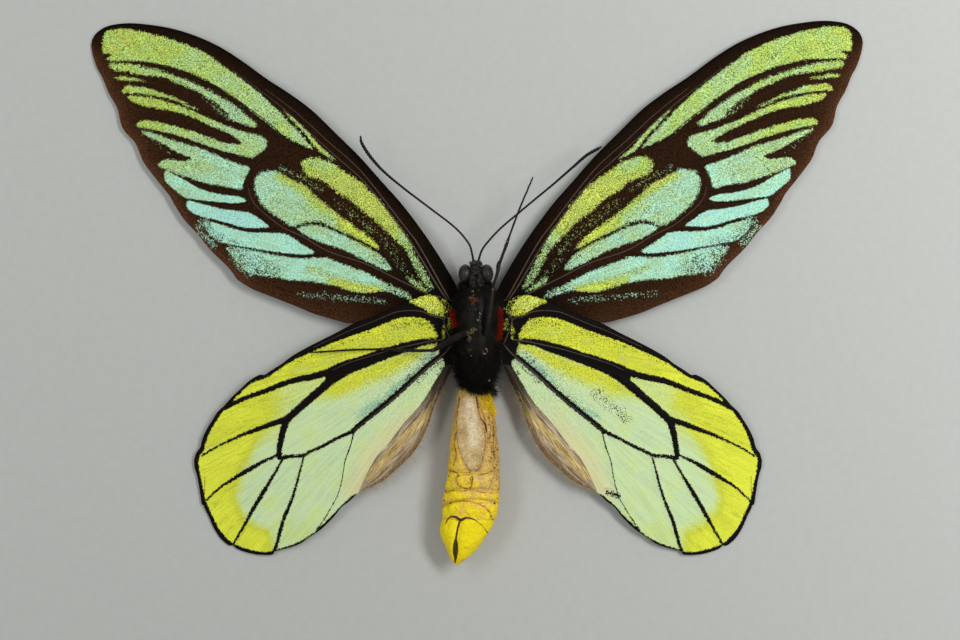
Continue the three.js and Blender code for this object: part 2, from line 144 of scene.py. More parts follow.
# Forewing patches: edge fray in mm, hue at the body end and at the outer end, outline
FOREWING_PATCHES = {
    "apical_band": (0.45, 0.46, 0.72, [
        (35.2, 36.8), (38, 38), (40, 39), (43, 41), (45, 42.8), (48, 45), (50, 47), (53, 49), (56, 51),
        (60, 53), (65, 54.8), (70, 55.9), (75, 56.2), (78.5, 56.2), (78.6, 56.8), (77.8, 57.6),
        (79.7, 57.6), (80, 58.6), (80, 60), (79.8, 61.2), (79, 62.3), (77.5, 62.8), (75, 62.8),
        (72, 62.3), (68, 61.3), (65, 60.4), (62, 59.3), (60, 58.4), (57, 56.9), (55, 55.3), (52, 53.2),
        (50, 51.6), (47, 49.3), (45, 47.4), (42, 44.6), (40, 42.3), (38.3, 40.8), (37, 39.2),
        (35.8, 37.8),
    ]),
    "radial_sliver": (0.35, 0.6, 0.6, [
        (30.1, 34.2), (32.5, 35.5), (34, 36.7), (36, 39.3), (38, 41.4), (40, 43.6), (41.3, 45.3),
        (39.5, 43.7), (37, 41.4), (35, 39.2), (33, 36.9), (31, 35.2),
    ]),
    "second_stripe": (0.6, 0.36, 0.66, [
        (46.9, 42), (48.5, 43.3), (50, 44.8), (52, 46.3), (55, 48.2), (58, 49.8), (61, 51.3),
        (64, 52.4), (67, 53.5), (70, 54.3), (73, 54.9), (76, 55.2), (78.3, 55.1), (77.9, 54.4),
        (77, 53.9), (75, 53.7), (73, 53.2), (70, 52.9), (67, 52.4), (65, 51.6), (63, 50.7), (60, 49.5),
        (58, 48.2), (56, 47), (54.5, 45.7), (53, 44.3), (52.5, 43.3), (50, 42.4), (48, 41.6),
    ]),
    "second_wisp": (0.5, 0.62, 0.62, [
        (71, 51.6), (74, 52.3), (75.2, 52.7), (77.5, 52.3), (76, 51.9), (74.5, 51.8),
    ]),
    "third_upper": (0.5, 0.5, 0.74, [
        (59.5, 45.5), (62, 46.7), (65, 48.2), (68, 49.2), (70, 50), (73, 50.4), (74.7, 50.6),
        (75.6, 49.8), (75.5, 49.2), (72, 49), (69, 48.5), (65, 47.6), (62, 46.2),
    ]),
    "third_fork": (0.4, 0.38, 0.74, [
        (44.8, 38.2), (45.5, 39.3), (48, 40.1), (50, 40.6), (53, 41.7), (56, 42.9), (60, 44.8),
        (64, 46.4), (68, 47.6), (71, 48.2), (74.5, 48.4), (73.5, 47.2), (71, 46.3), (68, 45.7),
        (65, 45.2), (62, 44.3), (59, 43), (56, 41.6), (53, 40.3), (51, 39), (50, 38), (53, 38),
        (55, 38.6), (58, 39.7), (60, 40.5), (63, 41.4), (66, 42.2), (69, 43), (71.5, 43.1),
        (72.4, 42.5), (72.2, 41.9), (70, 41.6), (66, 40.7), (62, 39.5), (58, 38), (55, 37), (52, 36.1),
        (50, 35.5), (48, 35.1), (46.5, 36), (45.2, 37),
    ]),
    "fourth_fork": (0.35, 0.24, 0.5, [
        (48.6, 32.8), (50, 33.4), (53, 34.4), (56, 35.7), (59, 36.9), (62, 37.9), (65, 38.8),
        (68, 39.8), (71, 40.7), (71.3, 40.4), (69, 39.1), (67, 38.1), (65, 36.9), (63, 35.9), (61, 35),
        (62.3, 34.4), (64, 34.5), (66, 34.8), (67.3, 34.4), (68, 33.5), (66, 32.5), (63, 31.3),
        (60, 30.3), (57, 29.4), (54, 29), (52, 28.5), (50.3, 28.3), (49.9, 29.5), (49.4, 31),
    ]),
    "fifth_stripe": (0.22, 0.1, 0.24, [
        (49.4, 26), (51, 26.7), (54, 27.1), (57, 27.7), (59.5, 28.6), (62, 30), (64.5, 31.4),
        (66.5, 32.4), (66.8, 31), (66.3, 29.7), (64.5, 28.2), (63, 26.9), (62, 26.5), (60, 26.2),
        (57, 25.8), (54, 25.5), (51, 25.3), (49.8, 25.5),
    ]),
    "sixth_stripe": (0.22, 0.04, 0.08, [
        (44.4, 20.2), (46, 21.5), (48, 22.9), (49.5, 23.4), (52, 23.7), (55, 24.2), (58, 25),
        (61, 25.8), (61.8, 25.9), (62.1, 25), (61.7, 24), (60, 22.9), (58, 22.3), (56, 21.9), (53, 21),
        (51, 20.4), (49, 20), (46.5, 20),
    ]),
    "seventh_stripe": (0.25, 0.08, 0.16, [
        (34.7, 14.6), (37, 16.1), (39, 17.5), (41.3, 18.7), (45, 18.9), (48, 19), (51, 19.5),
        (54, 20.5), (57, 21.4), (58.1, 21.5), (58.4, 20.6), (57.5, 19), (56, 17.6), (55, 17),
        (52, 16.3), (48, 15.7), (44, 15), (40, 14.5), (37, 14.3),
    ]),
    "inner_margin": (0.45, 0.18, 0.16, [
        (14, 4.6), (15, 6), (18, 7.3), (21, 8.8), (24, 10.3), (27, 11.4), (30, 12.5), (32, 13.4),
        (34, 13.5), (37, 13.3), (40, 13.6), (45, 14.5), (50, 15.6), (53, 16), (53.5, 15.5),
        (52.3, 14), (51.5, 13), (50, 11.5), (48.5, 10.3), (46, 9.8), (43, 9.4), (40, 8.9), (36, 8.6),
        (33, 8.1), (30, 7.4), (28, 6.7), (26, 6.1), (23, 6), (21, 6.3), (19, 6.1), (17, 5.4),
        (15, 4.7),
    ]),
    "cell_upper": (0.7, 0.86, 0.8, [
        (9.6, 6.8), (10.5, 9), (12, 12), (14, 15.5), (15.5, 18.5), (17.5, 21), (19.5, 24), (22, 26.8),
        (24, 28.8), (26, 30.3), (29, 32.3), (31, 33.8), (34, 34.7), (36, 34.7), (37.3, 33.8),
        (37, 32.3), (36, 31), (34, 30.3), (32, 29.3), (30.5, 28), (28.5, 26.7), (26.5, 25.3),
        (24.5, 23.5), (22.5, 22), (20.5, 20.3), (18.5, 18.2), (16.5, 16.3), (15, 14.5), (14, 12.5),
        (13, 10.5), (12, 8.8), (11, 7.5),
    ]),
    "cell_spur": (0.9, 0.7, 0.7, [(10.5, 6.2), (12.2, 7.6), (14.8, 9.1), (14, 8), (12.3, 6.8)]),
    "cell_lower": (0.75, 0.34, 0.28, [
        (21, 15.5), (22.5, 17.2), (24, 18.6), (26, 20), (28, 21.4), (30, 22.9), (32, 24.6), (34.5, 26.7),
        (36.5, 28.7), (39, 30), (41, 31), (43, 32), (45.5, 32), (46.7, 31.3), (47.4, 30), (47.2, 28),
        (46.7, 26.5), (45.5, 24.7), (44, 23.3), (42, 21.8), (40, 20.5), (38.5, 20.3), (37, 21),
        (34.5, 21.3), (32, 20.5), (29, 19.1), (25, 17.2), (22, 15.5),
    ]),
    "cell_lens": (0.4, 0.3, 0.26, [
        (18.5, 11.3), (20.5, 13.8), (22, 14.8), (25, 16.5), (28, 17.9), (31, 19.4), (34, 20.4),
        (36.5, 20.4), (38.4, 19.7), (37, 18.7), (35, 17.5), (33, 16.7), (30, 15.7), (27, 14.5),
        (25, 13.4), (22.5, 12.2), (20.5, 11.2), (19, 10.7),
    ]),
}
# Streaks that shift the hue of a patch: hue, reach in mm, path
FOREWING_STREAKS = [
    (0.42, 2.6, [(13.5, 8), (16, 11.5), (18.5, 14.5), (21, 18)]),
    (0.3, 2.0, [(14, 5), (17, 6.6), (20, 8)]),
    (0.95, 1.9, [(21.5, 6.3), (25, 6.9), (28.6, 7.7), (31, 8.6)]),
    (0.5, 1.1, [(30, 8.9), (33, 10.2), (36, 11.2)]),
    (0.55, 3.4, [(24, 18.2), (29, 21.4), (34, 25)]),
    (0.95, 2.8, [(22, 16.6), (25, 18.6), (28.5, 21)]),
    (0.75, 1.8, [(29, 22.2), (34, 26.2), (38, 29), (42, 31)]),
    (0.5, 3.6, [(10, 7), (13, 12.5), (16, 17.5)]),
    (0.56, 3.4, [(31, 33.4), (36, 33.4)]),
]
# Worn zones of the forewing: share of scales lost, reach in mm, path
FOREWING_WORN = [
    (0.68, 3.4, [(58.4, 21), (57.5, 19), (55.5, 17.4)]),
    (0.62, 6.0, [(52.5, 15), (50, 12.2), (45, 10.2)]),
    (0.56, 3.6, [(10, 7), (12, 10), (15, 15)]),
    (0.66, 4.4, [(14, 4.8), (18, 6.6)]),
    (0.4, 2.4, [(19, 11.5), (22, 14)]),
    (0.36, 2.2, [(24, 19), (30, 23.4), (36, 28)]),
    (0.3, 2.0, [(36.5, 33.5), (33, 30.5), (28, 26.6), (22, 21.8)]),
    (0.26, 3.0, [(60, 50), (68, 53)]),
    (0.2, 9.0, [(40, 40), (60, 50), (76, 58)]),
]
# Single pale scales astray on the dark ground: share, reach in mm, path
FOREWING_SPRINKLES = [
    (0.3, 1.6, [(20, 4.1), (26, 4.7), (32, 5.2), (38, 5.6)]),
    (0.26, 2.6, [(17, 13), (19, 16.5), (22, 19.2), (26, 22.4), (30, 25.4)]),
    (0.3, 1.6, [(33, 28), (38, 31), (42, 32.6)]),
    (0.24, 2.4, [(12, 7), (15, 10), (18, 13)]),
    (0.45, 1.8, [(57.5, 21.8), (59.6, 20.4), (58.6, 18.6), (56.5, 16.4)]),
    (0.38, 1.3, [(53, 43.6), (55.4, 45.4), (58, 48.2)]),
    (0.25, 1.0, [(66, 36), (69, 38.6), (71.5, 40)]),
    (0.4, 1.6, [(52.5, 14.6), (51, 12), (48.5, 10)]),
]
FOREWING_BARE_VEINS = {
    "subcosta": [(5.6, 4.2), (6.5, 5.2), (12.4, 15.8), (15.6, 20.2), (23.1, 30), (26.8, 34),
                 (31.7, 38.3), (36.6, 42.9), (40.4, 46.1), (45, 49.6)],
    "radius": [(6.4, 4), (9, 8), (13.5, 15.6), (18, 22), (24, 29.6), (28.8, 34), (34.3, 39),
               (40.4, 44.7), (46, 49.2), (52, 53.8)],
    "cubitus": [(7, 3.4), (11.5, 6), (17.5, 9), (24, 12.2), (31.7, 14.8), (37, 17.9), (41.4, 20),
                (44.5, 22.3), (47, 24.5), (48.3, 26.5), (48.8, 28.5)],
}
FOREWING_DARK_VEINS = {
    "cell_end": [(48.8, 28.5), (48.5, 30), (47.2, 33.3), (43, 35.8), (39, 37.5), (34.5, 36)],
    "first": [(36, 36.5), (40, 38.3), (44, 42.1), (50, 46.5), (55, 50), (60, 52.3), (65, 54.2),
              (70, 55.4), (75, 55.8), (78.7, 55.6), (81.4, 55.2)],
    "second": [(42, 38.6), (44.5, 40.5), (50, 41.7), (55, 43.4), (60, 45.8), (65, 47.4), (70, 48.5),
               (75.5, 49), (78.2, 48.8)],
    "third": [(47, 34), (50, 35.3), (55, 36.5), (60, 38.3), (65, 40), (70, 41.2), (72.5, 41.7),
              (75.3, 41.6)],
    "fourth": [(49.2, 27.3), (52, 28), (57, 28.8), (60, 30), (63, 31.5), (66, 32.8), (70.2, 33.3)],
    "fifth": [(48.6, 25.6), (52, 25.1), (55, 25.25), (58, 25.6), (60, 25.9), (62.5, 26.3), (64.8, 26.2)],
    "sixth": [(42, 19.8), (45, 19.4), (48, 19.5), (51, 20.1), (55, 21.2), (58, 21.9), (61.3, 21.2)],
    "seventh": [(32, 14.6), (34, 14.1), (37, 13.9), (40, 14.2), (45, 15), (50, 15.9), (55, 16.8),
                (57.5, 16.5)],
    "anal": [(7, 3), (15, 4.3), (20, 5), (25, 5.7), (28, 6.3), (33, 7.2), (40, 8.2), (50, 9.6)],
    "lens": [(17, 11), (21.5, 15), (25, 16.9), (29, 18.8), (32, 20.2), (34.5, 21), (37, 20.7),
             (38.5, 20)],
}

# Width that the patches gain beside the two thinnest dark veins, in mm
FOREWING_VEIN_TRIM = 0.2

# Hindwing: the coloured field, the dark trunk that crosses it and the tapering vein bands
HINDWING_FIELD = [
    (10.3, -0.5), (11.5, 0.2), (13, 0.5), (15, 0.6), (17, 0.3), (19, -0.4), (22, -1.7), (25, -2.8),
    (28, -3.8), (31, -4.9), (34, -6.2), (38, -8), (41, -9.6), (45, -12.3), (48.3, -13.5), (51, -15.9),
    (54, -19), (56, -21.6), (57.8, -24.8), (58.7, -27.8), (59.8, -29.5), (59.7, -32), (58.9, -36),
    (58.2, -39), (56.7, -42.3), (55.3, -45), (53.2, -47.3), (51, -48.5), (48.5, -49.3), (45, -49.7),
    (42, -48.7), (38.5, -47.5), (35, -45.3), (31.5, -42), (29, -39.4), (26.3, -37.1), (25.3, -36.7),
    (21.7, -30), (19, -26.8), (17, -24), (15, -21.3), (13, -19), (11, -16.3), (9.1, -13), (7.8, -10.9),
    (7.1, -9.3), (8.0, -7.5), (8.8, -5), (8.8, -3.2), (9.4, -1.8),
]
HINDWING_LOBE = [
    (7.2, 2.1), (7.5, 3.2), (8.3, 4.3), (9.3, 5.1), (10.5, 5.3), (12, 5), (13.5, 4.5), (14.8, 4), (13.5, 3.3),
    (12, 2.6), (10.5, 1.7), (9.2, 1.1), (8, 0.8), (7.4, 1.2),
]
HINDWING_ROOT_STREAK = [(7.15, -1.0), (7.45, -1.6), (7.55, -2.8), (7.35, -4.0), (7.1, -3.6), (7.15, -2.2)]
HINDWING_ROOT_SPECKS = [(5.7, 0.1), (6.2, 0.4), (6.4, -0.5), (6.2, -1.6), (5.7, -2.3), (5.5, -1.1)]
HINDWING_TRUNK = [
    (7.5, -3.9), (9, -3.9), (12, -4), (15, -4.6), (17.5, -5.2), (20, -6), (24, -7.3), (28, -8.6),
    (31.5, -10), (32.6, -12.4), (30.5, -13.2), (29, -12.6), (27, -11.4), (24, -10.2), (21, -9),
    (18, -7.8), (15, -6.8), (12, -5.6), (9, -5), (7.5, -4.8),
]
# Tapering bands: rows of x, y and full width
HINDWING_BANDS = {
    "first": [(31, -10.9, 1.7), (35, -12, 1.3), (38, -12.6, 1.25), (41, -13.4, 1.1), (45, -15, 1.0),
              (49, -16.4, 0.9), (52, -17.7, 0.9), (54, -18.7, 1.0)],
    "second": [(30, -11.8, 1.9), (33, -14.4, 1.7), (36, -17, 1.6), (38.5, -19.2, 1.5),
               (40.5, -21, 1.5)],
    "second_upper": [(40.6, -21, 1.3), (44, -22.2, 1.05), (47, -23.3, 0.9), (50, -24.4, 0.65),
                     (53, -25.7, 0.45), (56, -27.2, 0.32), (59, -29, 0.35)],
    "second_lower": [(40.8, -21.2, 1.4), (41.7, -24, 1.3), (42.2, -26.5, 1.15), (42.5, -28.6, 1.05),
                     (42.3, -29.4, 1.1)],
    "third": [(42.7, -28.7, 0.4), (46, -30.3, 0.65), (49, -32, 0.9), (52, -33.8, 0.75),
              (55, -35.7, 0.45), (57, -37.5, 0.35), (58.7, -39, 0.4)],
    "fourth": [(41.8, -30, 0.35), (44, -33.7, 0.55), (46, -37, 0.8), (48, -40.3, 0.75),
               (50, -44, 0.55), (51.5, -46.5, 0.4), (52.3, -47.9, 0.45)],
    "cell_end": [(26.5, -23.6, 0.8), (30, -25.2, 0.6), (33, -26.8, 0.6), (36, -28.2, 0.65),
                 (37.3, -28.9, 0.7), (40, -29.1, 0.7), (42, -29.4, 0.9)],
    "fifth": [(37.2, -29.3, 0.25), (38, -32.3, 0.35), (39, -36, 0.45), (40.2, -39.5, 0.6),
              (41.5, -42.5, 0.7), (42.5, -46, 0.65), (43.2, -48.4, 0.6), (43.7, -49.4, 0.6)],
    "sixth": [(26.5, -24, 0.2), (27.2, -27, 0.1), (28.3, -30, 0.04), (29, -34, 0.02), (30, -37.5, 0.04),
              (31.7, -40.6, 0.08), (33, -42.7, 0.15), (34.5, -44.8, 0.2)],
    "cubitus": [(5.6, -5.4, 1.3), (7.1, -6.8, 1.1), (9.1, -8.5, 1.05), (12.1, -11, 1.05), (15.1, -13.8, 1.05),
                (18.1, -16.5, 1.05), (21.1, -19, 1.05), (24.1, -21.4, 1.05), (26.6, -23.5, 1.0)],
}
# Width added to the dark rim and to each side of a band, which scattered scales narrow, in mm
HINDWING_RIM = 0.1
HINDWING_BAND_GAIN = 0.06
HINDWING_BARE_VEINS = {
    "base": [(5.4, -5.2), (6.9, -1.5), (7.2, 0), (6.5, 1.2), (6.5, 2.2), (7.6, 4)],
    "subcosta": [(7.2, 0.1), (8.5, 0.7), (10, 1), (11.5, 1.7), (13.5, 2), (16, 1.9), (18, 1.5),
                 (22, -0.2), (28, -2.6), (35, -5.8)],
    "radius": [(7.5, -4.2), (10, -4.5), (13, -5.1), (17, -6), (20, -6.8), (24, -8), (28, -9.3),
               (31, -10.7)],
    "cubitus": [(5.6, -5.4), (7, -7), (9, -8.7), (12, -11.2), (15, -14), (18, -16.7), (21, -19.2),
                (24, -21.6), (26.5, -23.6)],
}
FOLD_BORDER = [
    (6.5, -9.5), (7.4, -10.5), (9, -13), (11, -16.3), (13, -19), (15.1, -21.2), (17.2, -23.8), (19.3, -26.6),
    (22.1, -29.8), (25.5, -36.6),
]
FOLD_EDGE = HINDWING_REAR[:12]
FOLD_GOLD = [
    (8.9, -17), (10.4, -19.8), (13.4, -22.8), (15.9, -25.3), (18.3, -28), (20.8, -30.7), (23.3, -33.2),
]
FOLD_HEIGHT = 0.75
# Hue zones of the hindwing: hue, softness in mm, outline
HINDWING_HUES = [
    (0.8, 2.4, [
        (8, -5), (15, -6.5), (24, -9.5), (30, -12.5), (34.5, -16), (31, -16.3), (26, -14.8), (20, -12.2),
        (13, -8.6),
    ]),
    (0.5, 2.6, [(30, -11), (38, -12.6), (46, -15), (50, -18), (48, -23), (41, -21), (35, -16)]),
    (1.0, 7.0, [(45.5, -15.2), (45, -18.5), (47.5, -23.4), (60, -29), (63, -20), (54, -13)]),
    (1.0, 2.4, [
        (46, -22.6), (48, -26.5), (49.8, -31), (51, -34.4), (51.8, -38), (50.3, -41.6), (47.6, -44),
        (43.6, -46), (43, -53), (63, -53), (63, -30), (56, -27),
    ]),
    (0.36, 3.0, [(44, -45.8), (40, -44.5), (35, -42), (31, -39.5), (29, -42), (37, -50), (44, -53)]),
    (0.92, 0.8, [
        (6, 6.5), (16, 5.5), (30, -1.5), (42, -8), (56, -18), (54, -18.7), (45, -15), (38, -12.6),
        (31, -10.8), (22, -7.3), (15, -5.3), (8, -4.3),
    ]),
    (0.62, 1.0, [(6.6, 1), (7, 3.4), (10, 5.5), (15, 4.2), (12, 2.4), (9, 0.8)]),
    (0.74, 0.7, [(4.4, 2), (6.7, 1), (8.3, -4.5), (4.4, -4.2)]),
    (0.7, 2.2, [(20, -2.5), (27, -4.2), (34, -7.2), (40, -10), (38, -12), (32, -10), (25, -7)]),
    (0.74, 2.0, [(9, -3.5), (9, 0), (14, 0.6), (20, -1), (20, -5.5), (14, -4.6)]),
]
HINDWING_BLUE = (2.6, [(10, -8.2), (12, -9.9), (15, -12.6), (18, -15.2), (21, -17.8), (25, -21)])
# Worn zones of the hindwing: share of scales lost, reach in mm, path
HINDWING_WORN = [
    (0.4, 1.6, [(8, -5.4), (10, -7), (12.5, -9)]),
    (0.4, 1.7, [(9, -7.8), (13, -11), (18, -15.6), (22, -19)]),
    (0.46, 1.3, [(7.4, -8.2), (10, -10.6), (13, -13.4)]),
    (0.84, 1.4, [(5.8, 0.4), (5.8, -2.4)]),
    (0.5, 1.2, [(6.7, 1.2), (7.0, 3.0), (7.8, 4.6)]),
    (0.55, 0.9, [(7.3, -1), (7.3, -4)]),
    (0.42, 1.4, [(7.4, -9.6), (8.6, -11.6)]),
    (0.36, 2.6, [(9, -1.5), (13, -0.6), (18, -1.4)]),
    (0.4, 1.6, [(8, 1.2), (10.5, 2.2), (13.5, 3.6)]),
    (0.3, 1.6, [(22, -2.4), (32, -6), (40, -9.6)]),
]

# Wear that only the right hindwing shows
HINDWING_WORN_RIGHT = [
    (0.44, 3.0, [(25, -15.6), (28, -18), (31.5, -21)]),
    (0.95, 1.3, [(27.6, -36.6), (29.8, -37.6)]),
]

# Height of the thorax's axis, place across and height of the abdomen's
THORAX_AXIS = 6.2
ABDOMEN_AXIS = (-1.2, 5.2)
# Body rings: place along the body, left and right side, bottom and top, in millimetres
THORAX_RINGS = [
    (6.9, -3.0, 2.9, 1.6, 10.2), (5.2, -4.1, 4.0, 0.3, 11.6), (2.5, -4.9, 4.85, 0, 12.5),
    (-1, -4.8, 4.7, 0, 12.6), (-5, -4.7, 4.5, 0, 12.5), (-9, -4.3, 3.9, 0, 11.9),
    (-12, -3.7, 3.1, 0.2, 11.0), (-14.2, -3.0, 2.3, 1.0, 9.8),
]
ABDOMEN_RINGS = [
    (-13.5, -3.6, 2.7, 1.8, 9.0), (-15.6, -4.3, 3.2, 1.1, 9.5), (-19, -5.0, 3.6, 0.5, 10.0),
    (-23, -5.5, 3.9, 0.3, 10.1), (-27, -6.0, 4.3, 0.3, 10.2), (-32, -6.5, 4.6, 0.3, 10.3),
    (-36, -7.1, 4.7, 0.3, 10.3), (-39, -7.6, 4.5, 0.4, 10.1), (-42.2, -7.6, 3.9, 0.5, 9.8),
]
TIP_RINGS = [
    (-42.0, -7.5, 3.8, 0.6, 9.7), (-44, -8.1, 3.0, 0.7, 9.6), (-46, -7.9, 1.7, 1.0, 9.2),
    (-48, -7.0, 0.4, 1.6, 8.5), (-50, -6.2, -1.5, 2.4, 7.4), (-51.3, -5.6, -3.1, 3.3, 6.3),
    (-52, -5.0, -4.1, 4.2, 5.4),
]
# Centres of the tufts and scales on the body, pale specks that stand for painted glints, leg sockets and
# knees with their radius
RED_TUFTS = [
    (4.5, 2.1, 8.7), (4.6, 1.3, 9.0), (4.65, 0.3, 9.2), (4.65, -0.8, 9.2), (4.55, -1.8, 9.2),
    (4.45, -2.8, 9.1), (4.3, -3.6, 8.8), (-5.3, 1.6, 8.5), (-5.3, 0.8, 8.8), (-5.1, -0.1, 9.0),
    (-4.8, -0.9, 9.0),
]
# Bare plates on the underside of the thorax: centre and radii
THORAX_PLATES = [
    ((0.3, 1.0, 12.9), (0.3, 0.8, 0.4)), ((-0.5, 2.1, 12.8), (0.35, 0.55, 0.4)),
    ((-1.1, 6.0, 11.7), (0.35, 0.3, 0.45)), ((0.2, 6.2, 11.3), (0.3, 0.3, 0.4)),
    ((-1.9, -4.2, 12.6), (0.5, 0.4, 0.4)), ((0.4, -0.6, 12.8), (0.35, 0.4, 0.4)),
    ((-1.5, -7.4, 12.2), (0.25, 0.25, 0.35)), ((2.2, -12.8, 10.6), (0.2, 0.2, 0.3)),
]
BROWN_CRUMBS = [(-1.5, 4.5, 11.6), (-0.8, 4.9, 11.5), (-0.4, 4.2, 11.9), (-1.0, 3.6, 12.0)]
LEG_SOCKETS = [((1.5, -6.6, 12.2), 0.5)]
SOCKET_TUFT = (-1.8, -6.4, 12.0)
PALE_TUFTS = [(-2.0, -2.8, 13.2), (-1.3, -2.3, 13.3), (-0.6, -2.0, 13.2), (-1.8, -3.7, 12.8)]
# Pale specks on the thorax that stand for painted glints
GLINT_SCALES = [(-1.1, 6.0, 12.1), (0.4, 1.3, 13.2), (0.3, 0.6, 13.2), (-1.5, -7.4, 12.4), (2.4, -12.8, 10.8)]
REAR_TUFTS = [(-2.6, -13.4, 9.2), (-1.1, -13.9, 9.8), (0.5, -14.6, 9.5), (1.7, -14.2, 9.3), (2.9, -15.2, 7.6)]
COLLAR = [(-2.5, 6.9, 6.5), (-0.5, 7.1, 7.4), (1.6, 6.9, 6.5)]
LEG_JOINTS = {
    "left": [((-9.35, -6.3, 9.1), 0.3), ((-20.25, -6.2, 5.72), 0.24)],
    "right": [((3.12, 6.45, 13.72), 0.28), ((6.2, 16.4, 11.62), 0.24), ((4.35, 11.6, 12.75), 0.24)],
}
YELLOW_TUFTS = [(0.9, -16.3, 9.0), (2.0, -16.7, 8.7), (1.3, -17.8, 9.2), (2.4, -18.2, 8.5), (2.9, -19.5, 7.9)]
SEGMENT_JOINTS = (-20.5, -24.5, -28.5, -32.4, -36.3, -39.2)
BELLY_PATCH = [
    (-3.5, -15.7), (-0.8, -15.8), (-0.3, -17), (0.2, -20), (1.3, -23), (1.7, -26), (1.2, -30), (0, -32),
    (-1.8, -31.8), (-3, -30), (-4, -28), (-4.6, -25.5), (-4.7, -22), (-4.6, -18.5),
]
# Line along the belly's pale middle, partly the skin's own cream and partly a painted highlight
BELLY_HIGHLIGHT_LINE = [(-1.8, -18), (-1.2, -21.5), (-0.8, -25.8)]
# Thin dark lines in the dried skin
SKIN_CRACKS = [
    [(-3.9, -16.5), (-4.3, -19), (-4.5, -22), (-4.35, -25.5), (-3.7, -28.2), (-2.8, -30.2), (-1.7, -31.9)],
    [(-1.7, -31.9), (-0.2, -31.7), (0.7, -30.4), (1.25, -28), (1.6, -25.4), (1.1, -22.5), (0.3, -20),
     (0, -17)],
    [(-6.0, -31.9), (-4.2, -32.3), (-2.2, -32.2), (0.4, -32.6), (2.4, -32.3)],
    [(-4.1, -32.6), (-4.6, -33.6), (-4.2, -34.8), (-3.0, -35.4), (-1.9, -35.9), (-1.4, -35.2), (-1.5, -33.6),
     (-1.3, -32.5)],
    [(-6.8, -36.6), (-5, -36), (-3.2, -36.1), (-1.4, -35.8), (1, -36.4), (3.4, -36.6)],
    [(-7.4, -39.4), (-5.4, -38.6), (-3.2, -38.2), (-1, -38.5), (1.2, -39.4), (2.6, -40.9), (3.2, -42.4)],
    [(2.2, -20.5), (2.7, -23), (2.4, -25.4), (2.9, -27.6), (2.6, -30)],
    [(0.3, -18.4), (1.1, -20), (1.6, -21.8), (1.9, -23.6), (2.2, -25)],
    [(3.1, -21.5), (3.4, -24), (3.2, -26.8), (3.5, -29.4)],
    [(-4.7, -24), (-5.0, -26.4), (-4.6, -28.6), (-5.2, -30.6)],
    [(-2.6, -35.6), (-1.8, -35.5), (-1.2, -34.6), (-1.15, -33.2), (-1.4, -32.8)],
    [(-4.4, -33.2), (-4.0, -32.9), (-2.9, -32.6), (-1.8, -32.7)],
    [(-2.4, -34.7), (-1.7, -34.4), (-1.6, -33.3)],
]
CLASPER_SEAM = [
    (-6.9, -43.2), (-6.4, -42.2), (-5.6, -41.6), (-4.6, -41.7), (-3.9, -42.15), (-3.4, -42.2), (-2.6, -41.8),
    (-1.5, -41.9), (-0.4, -42.4), (0.8, -43.4), (1.7, -44.6), (2.3, -45.6),
]
CLASPER_LENS = [
    (-4.7, -46.0), (-4.3, -47.2), (-4.2, -48.6), (-4.4, -50.2), (-4.75, -51.2), (-5.1, -50.4), (-5.35, -48.8),
    (-5.2, -47.2),
]
TORN_EDGE = [
    (-0.35, -16.3), (-0.1, -17.8), (0.15, -19.6), (0.6, -20.6), (1.1, -21.4), (1.6, -22.3), (1.75, -23.8),
]
# Dark spots of the skin: place and radius
SKIN_SPOTS = [
    (3.5, -38.8, 0.22), (2.7, -41.5, 0.16), (-7.2, -38.3, 0.18), (-6.8, -36.3, 0.15), (-6.2, -33.1, 0.13),
    (-5.8, -30.2, 0.12), (4.4, -33.4, 0.12), (4.4, -36.0, 0.14), (4.1, -30.7, 0.12), (4.0, -27.4, 0.13),
    (4.1, -37.8, 0.14), (3.2, -24.4, 0.2), (3.4, -27.9, 0.16), (-5.4, -27.4, 0.12), (2.9, -34.2, 0.12),
    (3.6, -31.3, 0.14),
]
# Slit between the claspers: its two ends and its width
CLASPER_SLIT = ((-4.1, -42.0), (-5.0, -52.0), 0.04)
# Line of painted shade in the slit between the claspers, drawn on the skin
SLIT_SHADE_LINE = [(-3.65, -42.1), (-4.15, -43.6), (-4.5, -45.2), (-4.72, -46.6), (-4.8, -48), (-4.85, -51.4)]
CLASPER_RIPE = 1.3
# Head and palps: centre and radii of each ball
HEAD_BALLS = [
    ((-0.45, 9.9, 6.9), (1.45, 2.65, 1.7)), ((-1.0, 8.1, 8.6), (0.85, 1.7, 0.9)),
    ((0.45, 8.1, 8.6), (0.85, 1.7, 0.9)), ((-0.4, 11.8, 7.5), (1.4, 0.85, 1.0)),
    ((-1.0, 6.9, 8.6), (0.7, 0.8, 0.9)), ((0.5, 6.9, 8.6), (0.85, 0.9, 0.9)),
    ((-0.42, 10.4, 8.0), (1.15, 1.6, 0.8)),
]
EYES = {"left": (-2.68, 9.8, 6.9), "right": (1.8, 9.8, 6.9)}
EYE_RADII = (1.46, 2.04, 2.15)

# Limbs: rows of x, y, z and radius in millimetres
ANTENNA_JOINTS = 56
ANTENNAE = {
    "left": [
        (-1, 12.6, 7.6, 0.24), (-1.35, 14.5, 7.9, 0.22), (-2.1, 16.4, 8.1, 0.21), (-4.9, 19.6, 8.2, 0.21),
        (-10.2, 23.7, 8.0, 0.22), (-15.6, 27.8, 7.6, 0.24), (-19.9, 31.4, 7.1, 0.28),
        (-22.8, 34.6, 6.7, 0.34), (-24.6, 37.4, 6.3, 0.33), (-24.9, 38.7, 6.2, 0.2),
    ],
    "right": [
        (0.1, 12.6, 7.6, 0.24), (0.9, 14.9, 7.9, 0.22), (2.5, 17, 8.1, 0.21), (5, 19.6, 8.2, 0.21),
        (8.3, 22.4, 8.1, 0.21), (12, 25.5, 7.9, 0.22), (16, 28.8, 7.5, 0.24), (20, 32.3, 7.1, 0.28),
        (23, 34.9, 6.7, 0.34), (25.2, 36.2, 6.4, 0.33), (25.9, 36.6, 6.3, 0.2),
    ],
}
